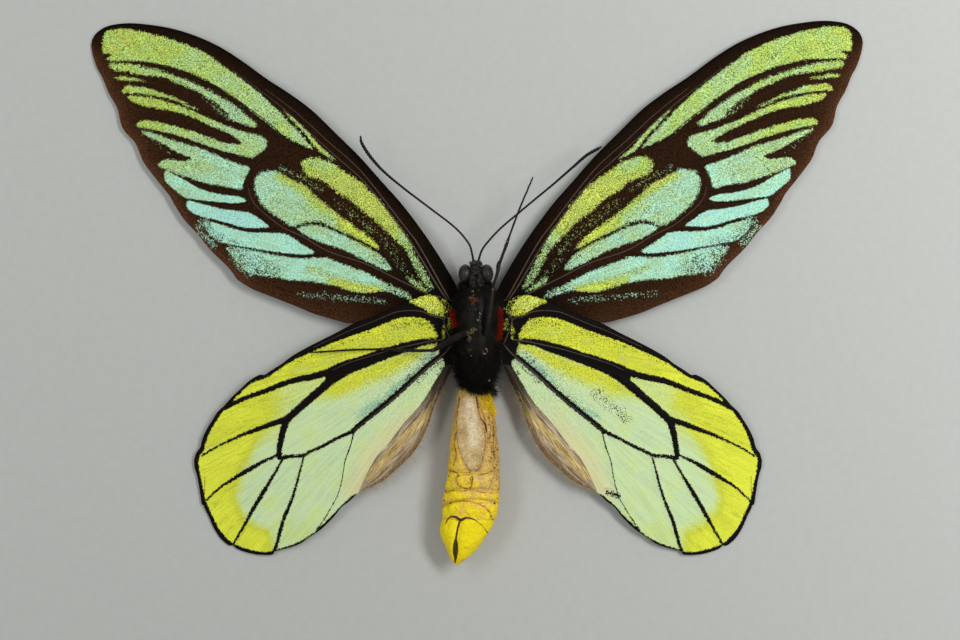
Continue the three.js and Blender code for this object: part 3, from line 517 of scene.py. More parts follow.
LEGS = {
    "left": [
        (-1.5, -2.1, 12.9, 0.42), (-4, -3.4, 12.6, 0.72), (-7, -5, 10.6, 0.6), (-9.3, -6.3, 8.9, 0.42),
        (-10.4, -6.45, 8.3, 0.3), (-13, -6.5, 7.2, 0.34), (-16, -6.4, 6.3, 0.32), (-20.2, -6.2, 5.5, 0.34),
        (-21.2, -6.2, 5.35, 0.22), (-25.7, -6.3, 5.0, 0.2), (-31, -6.6, 4.6, 0.18), (-35.4, -6.9, 4.25, 0.15),
    ],
    "right": [
        (1.6, -3, 12.9, 0.42), (2.2, 0, 13.9, 0.52), (2.8, 4, 13.8, 0.46), (3.1, 6.4, 13.5, 0.42),
        (3.3, 7.4, 13.3, 0.3), (4.1, 10, 12.8, 0.36), (4.35, 11.6, 12.5, 0.46), (4.8, 12.6, 12.3, 0.32),
        (5.3, 14, 12.0, 0.3), (6.2, 16.4, 11.4, 0.34), (6.6, 17.6, 11.1, 0.22), (8.7, 23.3, 10.1, 0.2),
        (10.4, 27.3, 9.4, 0.18), (11.6, 30.2, 8.9, 0.15),
    ],
}


def colour_setting(label, about, colour):
    """A colour among the settings."""
    return FloatVectorProperty(name=label, description=about, subtype="COLOR", default=colour)


def measure_setting(label, about, value, unit="LENGTH"):
    """A measure among the settings, in metres where it is a length."""
    return FloatProperty(name=label, description=about, default=value, unit=unit, min=0)


class WingSettings(bpy.types.PropertyGroup):
    """Sizes and colours of the wings."""

    thickness: measure_setting("Membrane", "Thickness of a wing", 0.16 * MM)
    vein_radius: measure_setting("Vein radius", "Radius of a vein at its root", 0.2 * MM)
    ribs: IntProperty(name="Ribs", description="Grid lines along a wing", default=240, min=20)
    rows: IntProperty(name="Rows", description="Grid lines across a wing", default=88, min=10)
    turquoise: colour_setting("Turquoise", "Cool end of the patch colours", srgb(176, 233, 205))
    mint: colour_setting("Mint", "Middle of the patch colours", srgb(168, 206, 160))
    lime: colour_setting("Lime", "Warm patch colour", srgb(176, 204, 92))
    olive: colour_setting("Olive", "Colour of the cell band", srgb(192, 200, 100))
    brown: colour_setting("Brown", "Forewing ground", srgb(41, 24, 11))
    black: colour_setting("Black", "Dark bands", srgb(11, 7, 4))
    pale_mint: colour_setting("Pale mint", "Hindwing middle", srgb(199, 223, 170))
    yellow: colour_setting("Yellow", "Hindwing border cells", srgb(227, 235, 70))
    cream: colour_setting("Cream", "Hindwing beside the fold", srgb(219, 215, 162))
    tan: colour_setting("Tan", "Folded inner margin", srgb(204, 180, 120))


class BodySettings(bpy.types.PropertyGroup):
    """Sizes and colours of the body, its fur and its limbs."""

    fur_length: measure_setting("Fur length", "Length of the thorax fur", 1.3 * MM)
    fur_density: measure_setting("Fur density", "Hairs on a square metre", 2.6e7, "NONE")
    hair_radius: measure_setting("Hair radius", "Radius of a hair at its root", 0.045 * MM)
    fur: colour_setting("Fur", "Black fur", srgb(14, 12, 9))
    red: colour_setting("Red", "Tufts beside the wing roots", srgb(150, 16, 10))
    chitin: colour_setting("Chitin", "Legs and antennae", srgb(24, 18, 15))
    eye: colour_setting("Eye", "Compound eyes", srgb(40, 35, 32))
    yellow: colour_setting("Yellow", "Abdomen and claspers", srgb(255, 233, 22))
    ochre: colour_setting("Ochre", "Dried flanks of the abdomen", srgb(226, 190, 104))
    belly: colour_setting("Belly", "Sunken belly patch", srgb(204, 176, 122))
    steel: colour_setting("Steel", "Pin", (0.6, 0.6, 0.61))


class StageSettings(bpy.types.PropertyGroup):
    """Floor, light and camera."""

    floor: colour_setting("Floor", "Floor colour", srgb(188, 190, 186))
    key_power: measure_setting("Key light", "Power of the main soft light", 9.0, "POWER")
    fill_power: measure_setting("Fill light", "Power of the fill light", 3.5, "POWER")
    camera_height: measure_setting("Camera height", "Camera above the floor", 0.7)
    view_width: measure_setting("View width", "Width that the picture covers", 0.205)


class SpecimenSettings(bpy.types.PropertyGroup):
    """All settings of the specimen."""

    wings: PointerProperty(type=WingSettings)
    body: PointerProperty(type=BodySettings)
    stage: PointerProperty(type=StageSettings)


def curve_through(points, per_span=6, closed=False):
    """Smooth curve through given points."""
    p = np.asarray(points, float)
    if closed:
        guide = np.vstack([p[-1:], p, p[:2]])
    else:
        guide = np.vstack([2 * p[0] - p[1], p, 2 * p[-1] - p[-2]])
    t = np.linspace(0, 1, per_span, endpoint=False)[:, None]
    spans = [
        0.5 * (2 * b + (c - a) * t + (2 * a - 5 * b + 4 * c - d) * t**2 + (3 * b - a - 3 * c + d) * t**3)
        for a, b, c, d in zip(guide, guide[1:], guide[2:], guide[3:])
    ]
    return np.vstack(spans) if closed else np.vstack(spans + [p[-1:]])


def evenly(points, count):
    """The same path as count points at even distances."""
    steps = np.linalg.norm(np.diff(points, axis=0), axis=1)
    along = np.concatenate([[0], np.cumsum(steps)])
    wanted = np.linspace(0, along[-1], count)
    return np.column_stack([np.interp(wanted, along, column) for column in points.T])


def path_distance(xy, path):
    """Distance from each point to a path, and where along the path, counted in its points."""
    nearest = np.full(len(xy), np.inf)
    along = np.zeros(len(xy))
    for i, (start, end) in enumerate(zip(path[:, :2], path[1:, :2])):
        run = end - start
        t = np.clip((xy - start) @ run / max(run @ run, TINY), 0, 1)
        away = np.hypot(*(xy - start - t[:, None] * run).T)
        closer = away < nearest
        nearest[closer] = away[closer]
        along[closer] = i + t[closer]
    return nearest, along


def inside_distance(xy, outline):
    """Distance to a closed outline, positive inside it."""
    loop = np.vstack([outline, outline[:1]])
    away, _ = path_distance(xy, loop)
    inside = np.zeros(len(xy), bool)
    for (x0, y0), (x1, y1) in zip(loop, loop[1:]):
        crosses = (y0 > xy[:, 1]) != (y1 > xy[:, 1])
        if crosses.any():
            at = x0 + (xy[:, 1] - y0) / (y1 - y0) * (x1 - x0)
            inside ^= crosses & (xy[:, 0] < at)
    return np.where(inside, away, -away)


def away_from(xy, points):
    """Distance from each place to the smooth curve through points."""
    return path_distance(xy, curve_through(points))[0]


def depth_in(xy, points, per_span=4):
    """Distance to the smooth outline through points, positive inside it."""
    return inside_distance(xy, curve_through(points, per_span, closed=True))


def band_clearance(xy, band):
    """Distance to the side of a tapering band, negative inside it."""
    path = curve_through(band)
    away, along = path_distance(xy, path)
    return away - np.interp(along, np.arange(len(path)), path[:, 2]) / 2


def soft_step(value, low, high):
    """Smooth step from 0 at low to 1 at high."""
    t = np.clip((value - low) / (high - low), 0, 1)
    return t * t * (3 - 2 * t)


def bell(distance, width):
    """1 at no distance, falling off smoothly over the width."""
    return np.exp(-((distance / width) ** 2))


def strongest(xy, zones):
    """Greatest share at each point of zones that fade out beside their paths."""
    total = np.zeros(len(xy))
    for share, reach, path in zones:
        total = np.maximum(total, share * soft_step(away_from(xy, path), reach, 0))
    return total


def full_turn(count):
    """Angles at even steps around a circle."""
    return np.linspace(0, 2 * math.pi, count, endpoint=False)


def ripple(points, scale, amount, seed):
    """Small smooth unevenness, as a sum of waves in fixed directions."""
    draw = np.random.default_rng(seed)
    total = np.zeros(len(points))
    for _ in range(RIPPLE_WAVES):
        direction = draw.normal(size=3)
        total += np.sin(points @ direction / scale + draw.uniform(0, 6.3))
    return amount * total / RIPPLE_WAVES


def new_object(name, data):
    """An object for a mesh, a light or a camera, in the scene."""
    made = bpy.data.objects.new(name, data)
    bpy.context.scene.collection.objects.link(made)
    return made


def mesh_from(name, points_mm, faces):
    """A closed mesh from points in millimetres, with its faces turned outwards."""
    mesh = bpy.data.meshes.new(name)
    mesh.from_pydata((np.asarray(points_mm) * MM).tolist(), [], faces)
    work = bmesh.new()
    work.from_mesh(mesh)
    bmesh.ops.recalc_face_normals(work, faces=work.faces)
    work.to_mesh(mesh)
    work.free()
    mesh.polygons.foreach_set("use_smooth", [True] * len(mesh.polygons))
    return mesh


def loft_faces(rings, sides):
    """Faces of a skin over rings, closed at both ends by one face each."""
    faces = []
    for i in range(rings - 1):
        for j in range(sides):
            k = (j + 1) % sides
            faces.append((i * sides + j, i * sides + k, (i + 1) * sides + k, (i + 1) * sides + j))
    faces.append(tuple(range(sides)))
    faces.append(tuple((rings - 1) * sides + j for j in range(sides)))
    return faces


def ring_points(rings, count, sides):
    """Points of a body lofted through its rings, evenly spaced along it."""
    rows = curve_through(rings, 8)
    rows = rows[np.argsort(rows[:, 0])]
    wanted = np.linspace(rings[0][0], rings[-1][0], count)
    angle = full_turn(sides)
    points = []
    for y, left, right, bottom, top in zip(*(np.interp(wanted, rows[:, 0], column) for column in rows.T)):
        x = (left + right) / 2 + (right - left) / 2 * np.cos(angle)
        z = (bottom + top) / 2 + (top - bottom) / 2 * np.sin(angle)
        points.append(np.column_stack([x, np.full(sides, y), z]))
    return np.vstack(points)


def ball_faces(across, along):
    """Faces of a ball: its top point, the rings below it and its bottom point, counted in that order."""
    last = 1 + (along - 1) * across
    faces = []
    for j in range(across):
        k = (j + 1) % across
        faces.append((0, 1 + j, 1 + k))
        for start in range(1, last - across, across):
            faces.append((start + j, start + across + j, start + across + k, start + k))
        faces.append((last, last - across + k, last - across + j))
    return faces


def joined_balls(name, shapes, across=28, along=18):
    """One mesh of several ellipsoids, each given by its centre and radii."""
    turn = math.pi / 2 + full_turn(across)
    fall = np.linspace(0, math.pi, along + 1)[1:-1, None]
    out, height = np.sin(fall), np.cos(fall) * np.ones(across)
    rings = np.dstack([out * np.cos(turn), out * np.sin(turn), height]).reshape(-1, 3)
    ball = np.vstack([(0, 0, 1), rings, (0, 0, -1)])
    points = np.vstack([centre + ball * radii for centre, radii in shapes])
    faces = ball_faces(across, along)
    return mesh_from(name, points, [
        tuple(i + n * len(ball) for i in face) for n in range(len(shapes)) for face in faces])


def round_shapes(centres, radius):
    """Balls of one radius for joined_balls."""
    return [(centre, (radius, radius, radius)) for centre in centres]


def set_values(mesh, name, values):
    """Store one number, or one vector, for each point of a mesh."""
    values = np.asarray(values, np.float32)
    if values.ndim == 1:
        mesh.attributes.new(name, "FLOAT", "POINT").data.foreach_set("value", values)
    else:
        mesh.attributes.new(name, "FLOAT_VECTOR", "POINT").data.foreach_set("vector", values.ravel())


def comb_hairs(mesh, comb, where=1.0):
    """Note on a mesh that its hairs are even in length, how dense they are and which way they lie."""
    count = len(mesh.vertices)
    set_values(mesh, "furry", np.ones(count) * where)
    set_values(mesh, "hair_length", np.ones(count))
    set_values(mesh, "comb", np.ones((count, 3)) * comb)
    return mesh


def points_of(mesh):
    """The points of a mesh in millimetres."""
    flat = np.empty(len(mesh.vertices) * 3, np.float32)
    mesh.vertices.foreach_get("co", flat)
    return flat.reshape(-1, 3) / MM


def finish_piece(piece, slot, *nodes):
    """Ride a piece on the body and hide the nodes that it stands for; the slot is not used."""
    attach(piece, BODY)
    if nodes:
        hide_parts(*nodes)


def add_piece(name, mesh, material, slot, *nodes):
    """A finished piece of one mesh and one material."""
    mesh.materials.append(material)
    finish_piece(new_object(name, mesh), slot, *nodes)


class Wiring:
    """Nodes and links of one node tree."""

    def node(self, kind, inputs=None, **settings):
        made = self.tree.nodes.new(kind)
        for key, value in settings.items():
            setattr(made, key, value)
        self.feed(made, inputs or {})
        return made

    def feed(self, node, inputs):
        for key, value in inputs.items():
            if isinstance(value, bpy.types.NodeSocket):
                self.tree.links.new(value, node.inputs[key])
            else:
                node.inputs[key].default_value = value

    def math(self, operation, first, second=0.0):
        return self.node("ShaderNodeMath", {0: first, 1: second}, operation=operation).outputs[0]

    def add(self, first, second):
        return self.math("ADD", first, second)

    def minus(self, first, second):
        return self.math("SUBTRACT", first, second)

    def times(self, first, second):
        return self.math("MULTIPLY", first, second)

    def parts(self, vector):
        return self.node("ShaderNodeSeparateXYZ", {0: vector}).outputs


class Shader(Wiring):
    """Wires one procedural material on Object coordinates."""

    def __init__(self, name):
        self.material = bpy.data.materials.new(name)
        self.material.use_nodes = True
        self.tree = self.material.node_tree
        self.surface = self.tree.nodes["Principled BSDF"]
        self.place = self.node("ShaderNodeTexCoord").outputs["Object"]

    def value(self, name, output="Fac"):
        return self.node("ShaderNodeAttribute", attribute_name=name).outputs[output]

    def waves(self, place, scale, detail, stretch=None):
        """Noise on a place, which may be stretched first."""
        if stretch:
            place = self.node("ShaderNodeMapping", {"Vector": place, "Scale": stretch}).outputs[0]
        inputs = {"Vector": place, "Scale": scale, "Detail": detail}
        return self.node("ShaderNodeTexNoise", inputs).outputs["Fac"]

    def noise(self, per_mm, detail, stretch=None):
        return self.waves(self.place, per_mm / MM, detail, stretch)

    def around_zero(self, per_mm, detail):
        return self.minus(self.noise(per_mm, detail), 0.5)

    def ray_noise(self, per_turn=26.0, per_mm=0.05):
        """Streaks that run from the wing root outwards."""
        return self.waves(self.value("ray", "Vector"), 1.0, 4.0, (per_turn, per_mm, 1))

    def cells(self, per_mm):
        return self.node("ShaderNodeTexVoronoi", {"Vector": self.place, "Scale": per_mm / MM})

    def step(self, value, low, high, start=0.0, end=1.0):
        """Smooth step from start at low to end at high."""
        inputs = {0: value, 1: low, 2: high, 3: start, 4: end}
        return self.node("ShaderNodeMapRange", inputs, interpolation_type="SMOOTHSTEP").outputs[0]

    def mix(self, factor, first, second, blend="MIX"):
        inputs = {0: factor}
        for index, value in ((6, first), (7, second)):
            inputs[index] = value if isinstance(value, bpy.types.NodeSocket) else (*value, 1)
        return self.node("ShaderNodeMix", inputs, data_type="RGBA", blend_type=blend).outputs[2]

    def ramp(self, factor, stops):
        made = self.node("ShaderNodeValToRGB", {"Fac": factor})
        while len(made.color_ramp.elements) < len(stops):
            made.color_ramp.elements.new(0.5)
        for element, (place, colour) in zip(made.color_ramp.elements, stops):
            element.position = place
            element.color = (*colour, 1)
        return made.outputs["Color"]

    def shade(self, colour, value):
        """Multiply a colour by a number."""
        tone = self.node("ShaderNodeCombineColor", {0: value, 1: value, 2: value}).outputs[0]
        return self.mix(1.0, colour, tone, "MULTIPLY")

    def mottled(self, colour, per_mm, detail, *tones):
        """A colour whose tone follows a noise: from and to which noise, darkest and lightest tone."""
        return self.shade(colour, self.step(self.noise(per_mm, detail), *tones))

    def bump(self, height, depth_mm, strength=1.0):
        inputs = {"Height": height, "Distance": depth_mm * MM, "Strength": strength}
        if self.surface.inputs["Normal"].is_linked:
            inputs["Normal"] = self.surface.inputs["Normal"].links[0].from_socket
        self.feed(self.surface, {"Normal": self.node("ShaderNodeBump", inputs).outputs[0]})

    def finish(self, **inputs):
        self.feed(self.surface, {key.replace("_", " "): value for key, value in inputs.items()})
        return self.material


def ragged_inside(shader):
    """1 inside the coloured patches and 0 outside, with an edge of scattered scales."""
    clump, speck = shader.around_zero(1.5, 4.0), shader.around_zero(4.6, 1.0)
    wander = shader.add(shader.times(clump, 1.6), shader.times(speck, 2.6))
    reach = shader.add(shader.value("fray"), 0.08)
    edge = shader.add(shader.value("patch"), shader.times(wander, reach))
    return shader.step(edge, -0.07, 0.07)


def scale_cover(shader):
    """Grain of the wing scales around 1 with painted shade of fine wrinkles, a number for each scale, and
    where scales cover the ground.
    """
    pick = shader.node("ShaderNodeSeparateColor", {0: shader.cells(6.0).outputs["Color"]}).outputs
    fine = shader.step(shader.noise(4.4, 2.5), 0.34, 0.62, -0.66, 0.36)
    fine = shader.add(fine, shader.step(pick[0], 0.84, 0.9, 0.05, -0.4))
    tone = shader.add(shader.times(shader.value("grit"), fine), 1.0)
    # Painted shade of fine wrinkles in the membrane, in streaks that run out from the root
    painted_wrinkle_shade = shader.step(shader.ray_noise(64.0, 0.12), 0.3, 0.62, 0.92, 1.03)
    clump = shader.times(shader.around_zero(1.2, 2.0), 0.45)
    loss = shader.add(shader.add(pick[2], clump), shader.value("worn"))
    stray = shader.add(shader.add(pick[0], clump), shader.value("sprinkle"))
    kept = shader.times(ragged_inside(shader), shader.step(loss, 1.16, 1.22, 1.0, 0.0))
    covered = shader.math("MAXIMUM", kept, shader.step(stray, 1.1, 1.16))
    return shader.times(tone, painted_wrinkle_shade), shader.minus(pick[1], 0.5), covered


def painted_crease_shade(shader):
    """Painted shade of thin creases in the yellow cells, along the wing."""
    bend = shader.math("ABSOLUTE", shader.minus(shader.ray_noise(30.0, 0.04), 0.5))
    bend = shader.add(bend, shader.step(shader.value("hue"), 0.6, 0.72, 0.1, 0.0))
    return shader.step(bend, 0.004, 0.014, 0.78, 1.0)


def hue_of(shader, each, spread):
    """Stored hue, varied from scale to scale and in broad clouds."""
    broad = shader.step(shader.noise(0.24, 4.0), 0.3, 0.7, -0.08, 0.08)
    streaks = shader.step(shader.ray_noise(48.0, 0.09), 0.3, 0.7, -0.06, 0.06)
    hue = shader.add(shader.add(shader.value("hue"), broad), streaks)
    return shader.add(hue, shader.times(each, spread))


def forewing_material(wings):
    """Brown ground with green and turquoise patches of scales."""
    shader = Shader("forewing_scales")
    grain_and_wrinkle_shade, each, covered = scale_cover(shader)
    ground = shader.ramp(shader.value("ground"), [
        (0.0, wings.black), (0.5, wings.brown), (1.0, srgb(80, 51, 31))])
    ground = shader.mottled(ground, 3.6, 3.0, 0.34, 0.66, 0.5, 1.6)
    patch = shader.ramp(hue_of(shader, each, 0.2), [
        (0.0, srgb(168, 224, 212)), (0.12, wings.turquoise), (0.3, wings.mint), (0.45, srgb(174, 208, 146)),
        (0.68, wings.lime), (0.86, wings.olive), (1.0, srgb(204, 228, 84))])
    colour = shader.mix(covered, ground, shader.shade(patch, grain_and_wrinkle_shade))
    shader.bump(shader.noise(5.0, 2.0), 0.05, 0.35)
    shader.bump(shader.ray_noise(), 0.25, 0.3)
    return shader.finish(Base_Color=colour, Roughness=0.7, Specular_IOR_Level=0.03)


def hindwing_material(wings):
    """Yellow to mint cells between black bands, and the tan fold."""
    shader = Shader("hindwing_scales")
    grain_and_wrinkle_shade, each, covered = scale_cover(shader)
    cells = shader.ramp(hue_of(shader, each, 0.12), [
        (0.0, srgb(156, 198, 166)), (0.14, wings.pale_mint), (0.24, srgb(203, 227, 176)),
        (0.45, srgb(206, 225, 134)), (0.72, srgb(208, 215, 62)), (1.0, wings.yellow)])
    cells = shader.mix(shader.value("cream"), cells, wings.cream)
    # The cells take the scale grain and the painted shade of wrinkles and creases
    cells = shader.shade(cells, shader.times(grain_and_wrinkle_shade, painted_crease_shade(shader)))
    colour = shader.mix(covered, wings.black, cells)
    fold = shader.shade(fold_colour(shader, wings), grain_and_wrinkle_shade)
    colour = shader.mix(shader.step(shader.value("fold"), -0.12, 0.12), colour, fold)
    shader.bump(shader.noise(5.0, 2.0), 0.05, 0.3)
    shader.bump(shader.ray_noise(), 0.3, 0.35)
    return shader.finish(Base_Color=colour, Roughness=0.65, Specular_IOR_Level=0.08)


def fold_colour(shader, wings):
    """Mauve brown margin with a golden haired band, a rusty edge and a dark upper end."""
    rust, shadow, upper_end = srgb(104, 70, 42), srgb(84, 66, 50), srgb(34, 24, 17)
    place = shader.value("fold_place", "Vector")
    parts = shader.parts(place)
    fine = shader.waves(place, 1.0, 5.0, (22, 7, 1))
    lift = shader.minus(fine, 0.5)
    mauve = shader.ramp(fine, [
        (0.34, srgb(104, 84, 64)), (0.5, srgb(172, 154, 128)), (0.66, srgb(214, 196, 166))])
    gold = shader.ramp(fine, [(0.34, srgb(150, 122, 72)), (0.5, wings.tan), (0.66, srgb(232, 208, 150))])
    band = shader.add(parts["Z"], shader.times(lift, 1.2))
    colour = shader.mix(shader.step(band, 0.25, 0.75), mauve, gold)
    edge = shader.add(parts["X"], shader.times(lift, 0.25))
    colour = shader.mix(shader.step(edge, 0.78, 0.92, 0.0, 0.8), colour, rust)
    colour = shader.mix(shader.step(edge, 0.09, 0.01, 0.0, 0.6), colour, shadow)
    top = shader.add(parts["Y"], shader.times(lift, 0.3))
    return shader.mix(shader.step(top, 0.54, 0.24, 0.0, 0.94), colour, upper_end)


def vein_material(name, colour, shine):
    """Bare horny vein with fine streaks."""
    shader = Shader(name)
    colour = shader.mottled(colour, 1.8, 3.0, 0.3, 0.7, 0.7, 1.25)
    return shader.finish(Base_Color=colour, Roughness=0.35, Specular_IOR_Level=shine)


def hair_material(name, colour, lightest=1.8):
    """Glossy hair that varies from strand to strand."""
    shader = Shader(name)
    colour = shader.mottled(colour, 2.2, 2.0, 0.3, 0.7, 0.6, lightest)
    return shader.finish(Base_Color=colour, Roughness=0.55, Specular_IOR_Level=0.14)


def chitin_material(name, colour):
    """Dark horny skin with dents and a dull shine."""
    shader = Shader(name)
    colour = shader.mottled(colour, 1.6, 4.0, 0.32, 0.68, 0.35, 1.9)
    shader.bump(shader.noise(2.6, 3.0), 0.12, 0.6)
    return shader.finish(Base_Color=colour, Roughness=0.45, Specular_IOR_Level=0.15)


def worn_material(colour):
    """Black skin with crumbs of dried brown."""
    shader = Shader("worn_skin")
    crumbs = shader.step(shader.noise(2.6, 4.0), 0.46, 0.6)
    shader.bump(crumbs, 0.2, 0.8)
    return shader.finish(Base_Color=shader.mix(crumbs, srgb(16, 11, 9), colour), Roughness=0.5)


def gloss_material(name, colour, shine):
    """Smooth shiny skin with small dents."""
    shader = Shader(name)
    colour = shader.mottled(colour, 1.4, 3.0, 0.3, 0.72, 0.6, 1.8)
    shader.bump(shader.noise(2.4, 4.0), 1.2)
    return shader.finish(Base_Color=colour, Roughness=0.14, Specular_IOR_Level=shine)


def head_material():
    """Black glossy skin with grey specks, partly grey scales and partly painted glints."""
    shader = Shader("head_skin")
    # Grey specks: painted glints as well as the head's grey scales
    scales = shader.step(shader.noise(2.9, 3.0), 0.54, 0.66, 0.0, 0.8)
    shader.bump(shader.noise(3.2, 3.0), 0.8)
    colour = shader.mix(scales, srgb(12, 10, 9), srgb(104, 99, 97))
    return shader.finish(Base_Color=colour, Roughness=0.2, Specular_IOR_Level=0.5)


def eye_material(colour):
    """Compound eye: small facets under a clear coat."""
    shader = Shader("eye_facets")
    colour = shader.mottled(colour, 0.7, 2.0, 0.3, 0.7, 0.6, 1.5)
    shader.bump(shader.cells(9.0).outputs["Distance"], 0.02, 0.4)
    return shader.finish(
        Base_Color=colour, Roughness=0.3, Specular_IOR_Level=0.3, Coat_Weight=0.12, Coat_Roughness=0.05)


def abdomen_material(body):
    """Dried yellow skin: ochre flanks that turn amber lower down with painted shade, tan belly with a pale
    middle that is partly a painted highlight, dark cracks with painted shade beside them, painted light and
    shade at the segment folds, and spots.
    """
    shader = Shader("abdomen_skin")
    amber_flank_shade, rim_and_crack_shade_brown, crack_brown = srgb(240, 172, 30), srgb(182, 124, 56), srgb(94, 54, 30)
    fleck_brown, spot_brown = srgb(86, 60, 34), srgb(44, 20, 11)
    blotch = shader.noise(0.4, 4.0)
    fine = shader.noise(2.6, 3.0)
    stray = shader.minus(fine, 0.5)
    uneven = shader.around_zero(0.9, 4.0)
    ripe = shader.add(shader.value("ripe"), shader.step(blotch, 0.35, 0.65, -0.3, 0.3))
    colour = shader.ramp(ripe, [
        (0.0, srgb(210, 172, 92)), (0.2, body.ochre), (0.5, srgb(244, 206, 76)), (0.8, srgb(250, 214, 40)),
        (1.0, body.yellow)])
    belly = shader.ramp(shader.noise(0.5, 5.0), [
        (0.3, srgb(178, 140, 84)), (0.5, body.belly), (0.7, srgb(216, 190, 136))])
    # The pale middle of the belly is partly a painted highlight
    belly = shader.mix(shader.value("pale"), belly, srgb(234, 219, 182))
    edge = shader.add(shader.value("belly"), shader.times(stray, 1.2))
    colour = shader.mix(shader.step(edge, -0.25, 0.25), colour, belly)
    # Painted shade on the lower flanks: the colour turns amber by height alone, partly the skin's own deeper
    # yellow
    painted_flank_shade = shader.step(shader.parts(shader.place)["Z"], 8.2 * MM, 4.0 * MM, 0.0, 0.5)
    colour = shader.mix(painted_flank_shade, colour, amber_flank_shade)
    rim = shader.add(shader.value("belly"), shader.times(uneven, 1.6))
    rim = shader.step(shader.math("ABSOLUTE", rim), 0.8, 0.0, 0.0, 0.4)
    # Painted shade: a soft darkening beside the cracks and segment joints, in the brown of the belly patch's
    # own rim
    soft = shader.step(shader.add(shader.value("crack"), uneven), 0.7, 0.0, 0.0, 0.26)
    colour = shader.mix(shader.math("MAXIMUM", rim, soft), colour, rim_and_crack_shade_brown)
    lines = shader.add(shader.value("crack"), shader.times(stray, 0.2))
    lines = shader.minus(lines, shader.times(uneven, 0.22))
    patchy = shader.step(uneven, -0.2, 0.16, 0.4, 1.0)
    lines = shader.times(shader.step(lines, 0.0, 0.17, 1.0, 0.0), patchy)
    colour = shader.mix(lines, colour, crack_brown)
    flecks = shader.times(shader.step(shader.noise(2.1, 4.0), 0.57, 0.63), shader.value("flecked"))
    colour = shader.mix(flecks, colour, fleck_brown)
    dark = shader.add(shader.value("dark"), shader.times(stray, 0.25))
    colour = shader.mix(shader.step(dark, -0.08, 0.06, 0.0, 0.95), colour, spot_brown)
    calm = shader.step(shader.value("ripe"), 0.9, 1.25, 1.0, 0.3)
    tone = shader.times(shader.step(fine, 0.3, 0.7, -0.2, 0.12), calm)
    # The tone also carries the painted light and shade at the segment folds
    colour = shader.shade(colour, shader.add(tone, shader.value("painted_fold_light_and_shade")))
    shader.bump(fine, 0.14, 0.5)
    shader.bump(blotch, 1.2, 0.8)
    shader.bump(shader.step(lines, 0.0, 1.0, 1.0, 0.0), 0.12, 0.5)
    return shader.finish(Base_Color=colour, Roughness=0.5, Specular_IOR_Level=0.2)


def steel_material(colour):
    """Drawn steel wire with faint lengthwise lines."""
    shader = Shader("pin_wire")
    lines = shader.noise(9.0, 2.0, (1, 1, 0.02))
    colour = shader.shade(colour, shader.step(lines, 0.3, 0.7, 0.9, 1.05))
    rough = shader.step(lines, 0.3, 0.7, 0.2, 0.34)
    return shader.finish(Base_Color=colour, Roughness=rough, Metallic=1.0)


class Tree(Wiring):
    """A geometry node tree with named inputs."""

    def __init__(self, name, **sockets):
        self.tree = bpy.data.node_groups.new(name, "GeometryNodeTree")
        interface = self.tree.interface
        interface.new_socket("Geometry", in_out="INPUT", socket_type="NodeSocketGeometry")
        self.ids = {}
        for label, kind in {**sockets, "Material": "Material"}.items():
            made = interface.new_socket(label, in_out="INPUT", socket_type="NodeSocket" + kind)
            self.ids[label] = made.identifier
        interface.new_socket("Geometry", in_out="OUTPUT", socket_type="NodeSocketGeometry")
        self.inputs = self.tree.nodes.new("NodeGroupInput").outputs

    def sum_of(self, first, second):
        return self.node("ShaderNodeVectorMath", {0: first, 1: second}, operation="ADD").outputs[0]

    def scaled(self, vector, size):
        return self.node("ShaderNodeVectorMath", {0: vector, "Scale": size}, operation="SCALE").outputs[0]

    def turned_to(self, vector):
        return self.node("FunctionNodeAlignRotationToVector", {"Vector": vector}, axis="Z").outputs[0]

    def named(self, name, kind="FLOAT"):
        return self.node("GeometryNodeInputNamedAttribute", {"Name": name}, data_type=kind).outputs[0]

    def place(self, points, shape, turn, size):
        inputs = {"Points": points, "Instance": shape, "Rotation": turn, "Scale": size}
        return self.node("GeometryNodeInstanceOnPoints", inputs).outputs[0]

    def close(self, geometry):
        """Realize, set the material and hand the result out."""
        real = self.node("GeometryNodeRealizeInstances", {0: geometry}).outputs[0]
        smooth = self.node("GeometryNodeSetShadeSmooth", {0: real}).outputs[0]
        done = self.node("GeometryNodeSetMaterial", {"Geometry": smooth, "Material": self.inputs["Material"]})
        self.node("NodeGroupOutput", {0: done.outputs[0]})
        return self

    def grow(self, name, base_mesh, **values):
        """Run the tree on a mesh and return the result as a plain object."""
        holder = new_object(name, base_mesh)
        modifier = holder.modifiers.new("grow", "NODES")
        modifier.node_group = self.tree
        for label, value in values.items():
            modifier[self.ids[label]] = value
        graph = bpy.context.evaluated_depsgraph_get()
        mesh = bpy.data.meshes.new_from_object(holder.evaluated_get(graph), depsgraph=graph)
        mesh.name = name
        holder.modifiers.clear()
        holder.data = mesh
        return holder


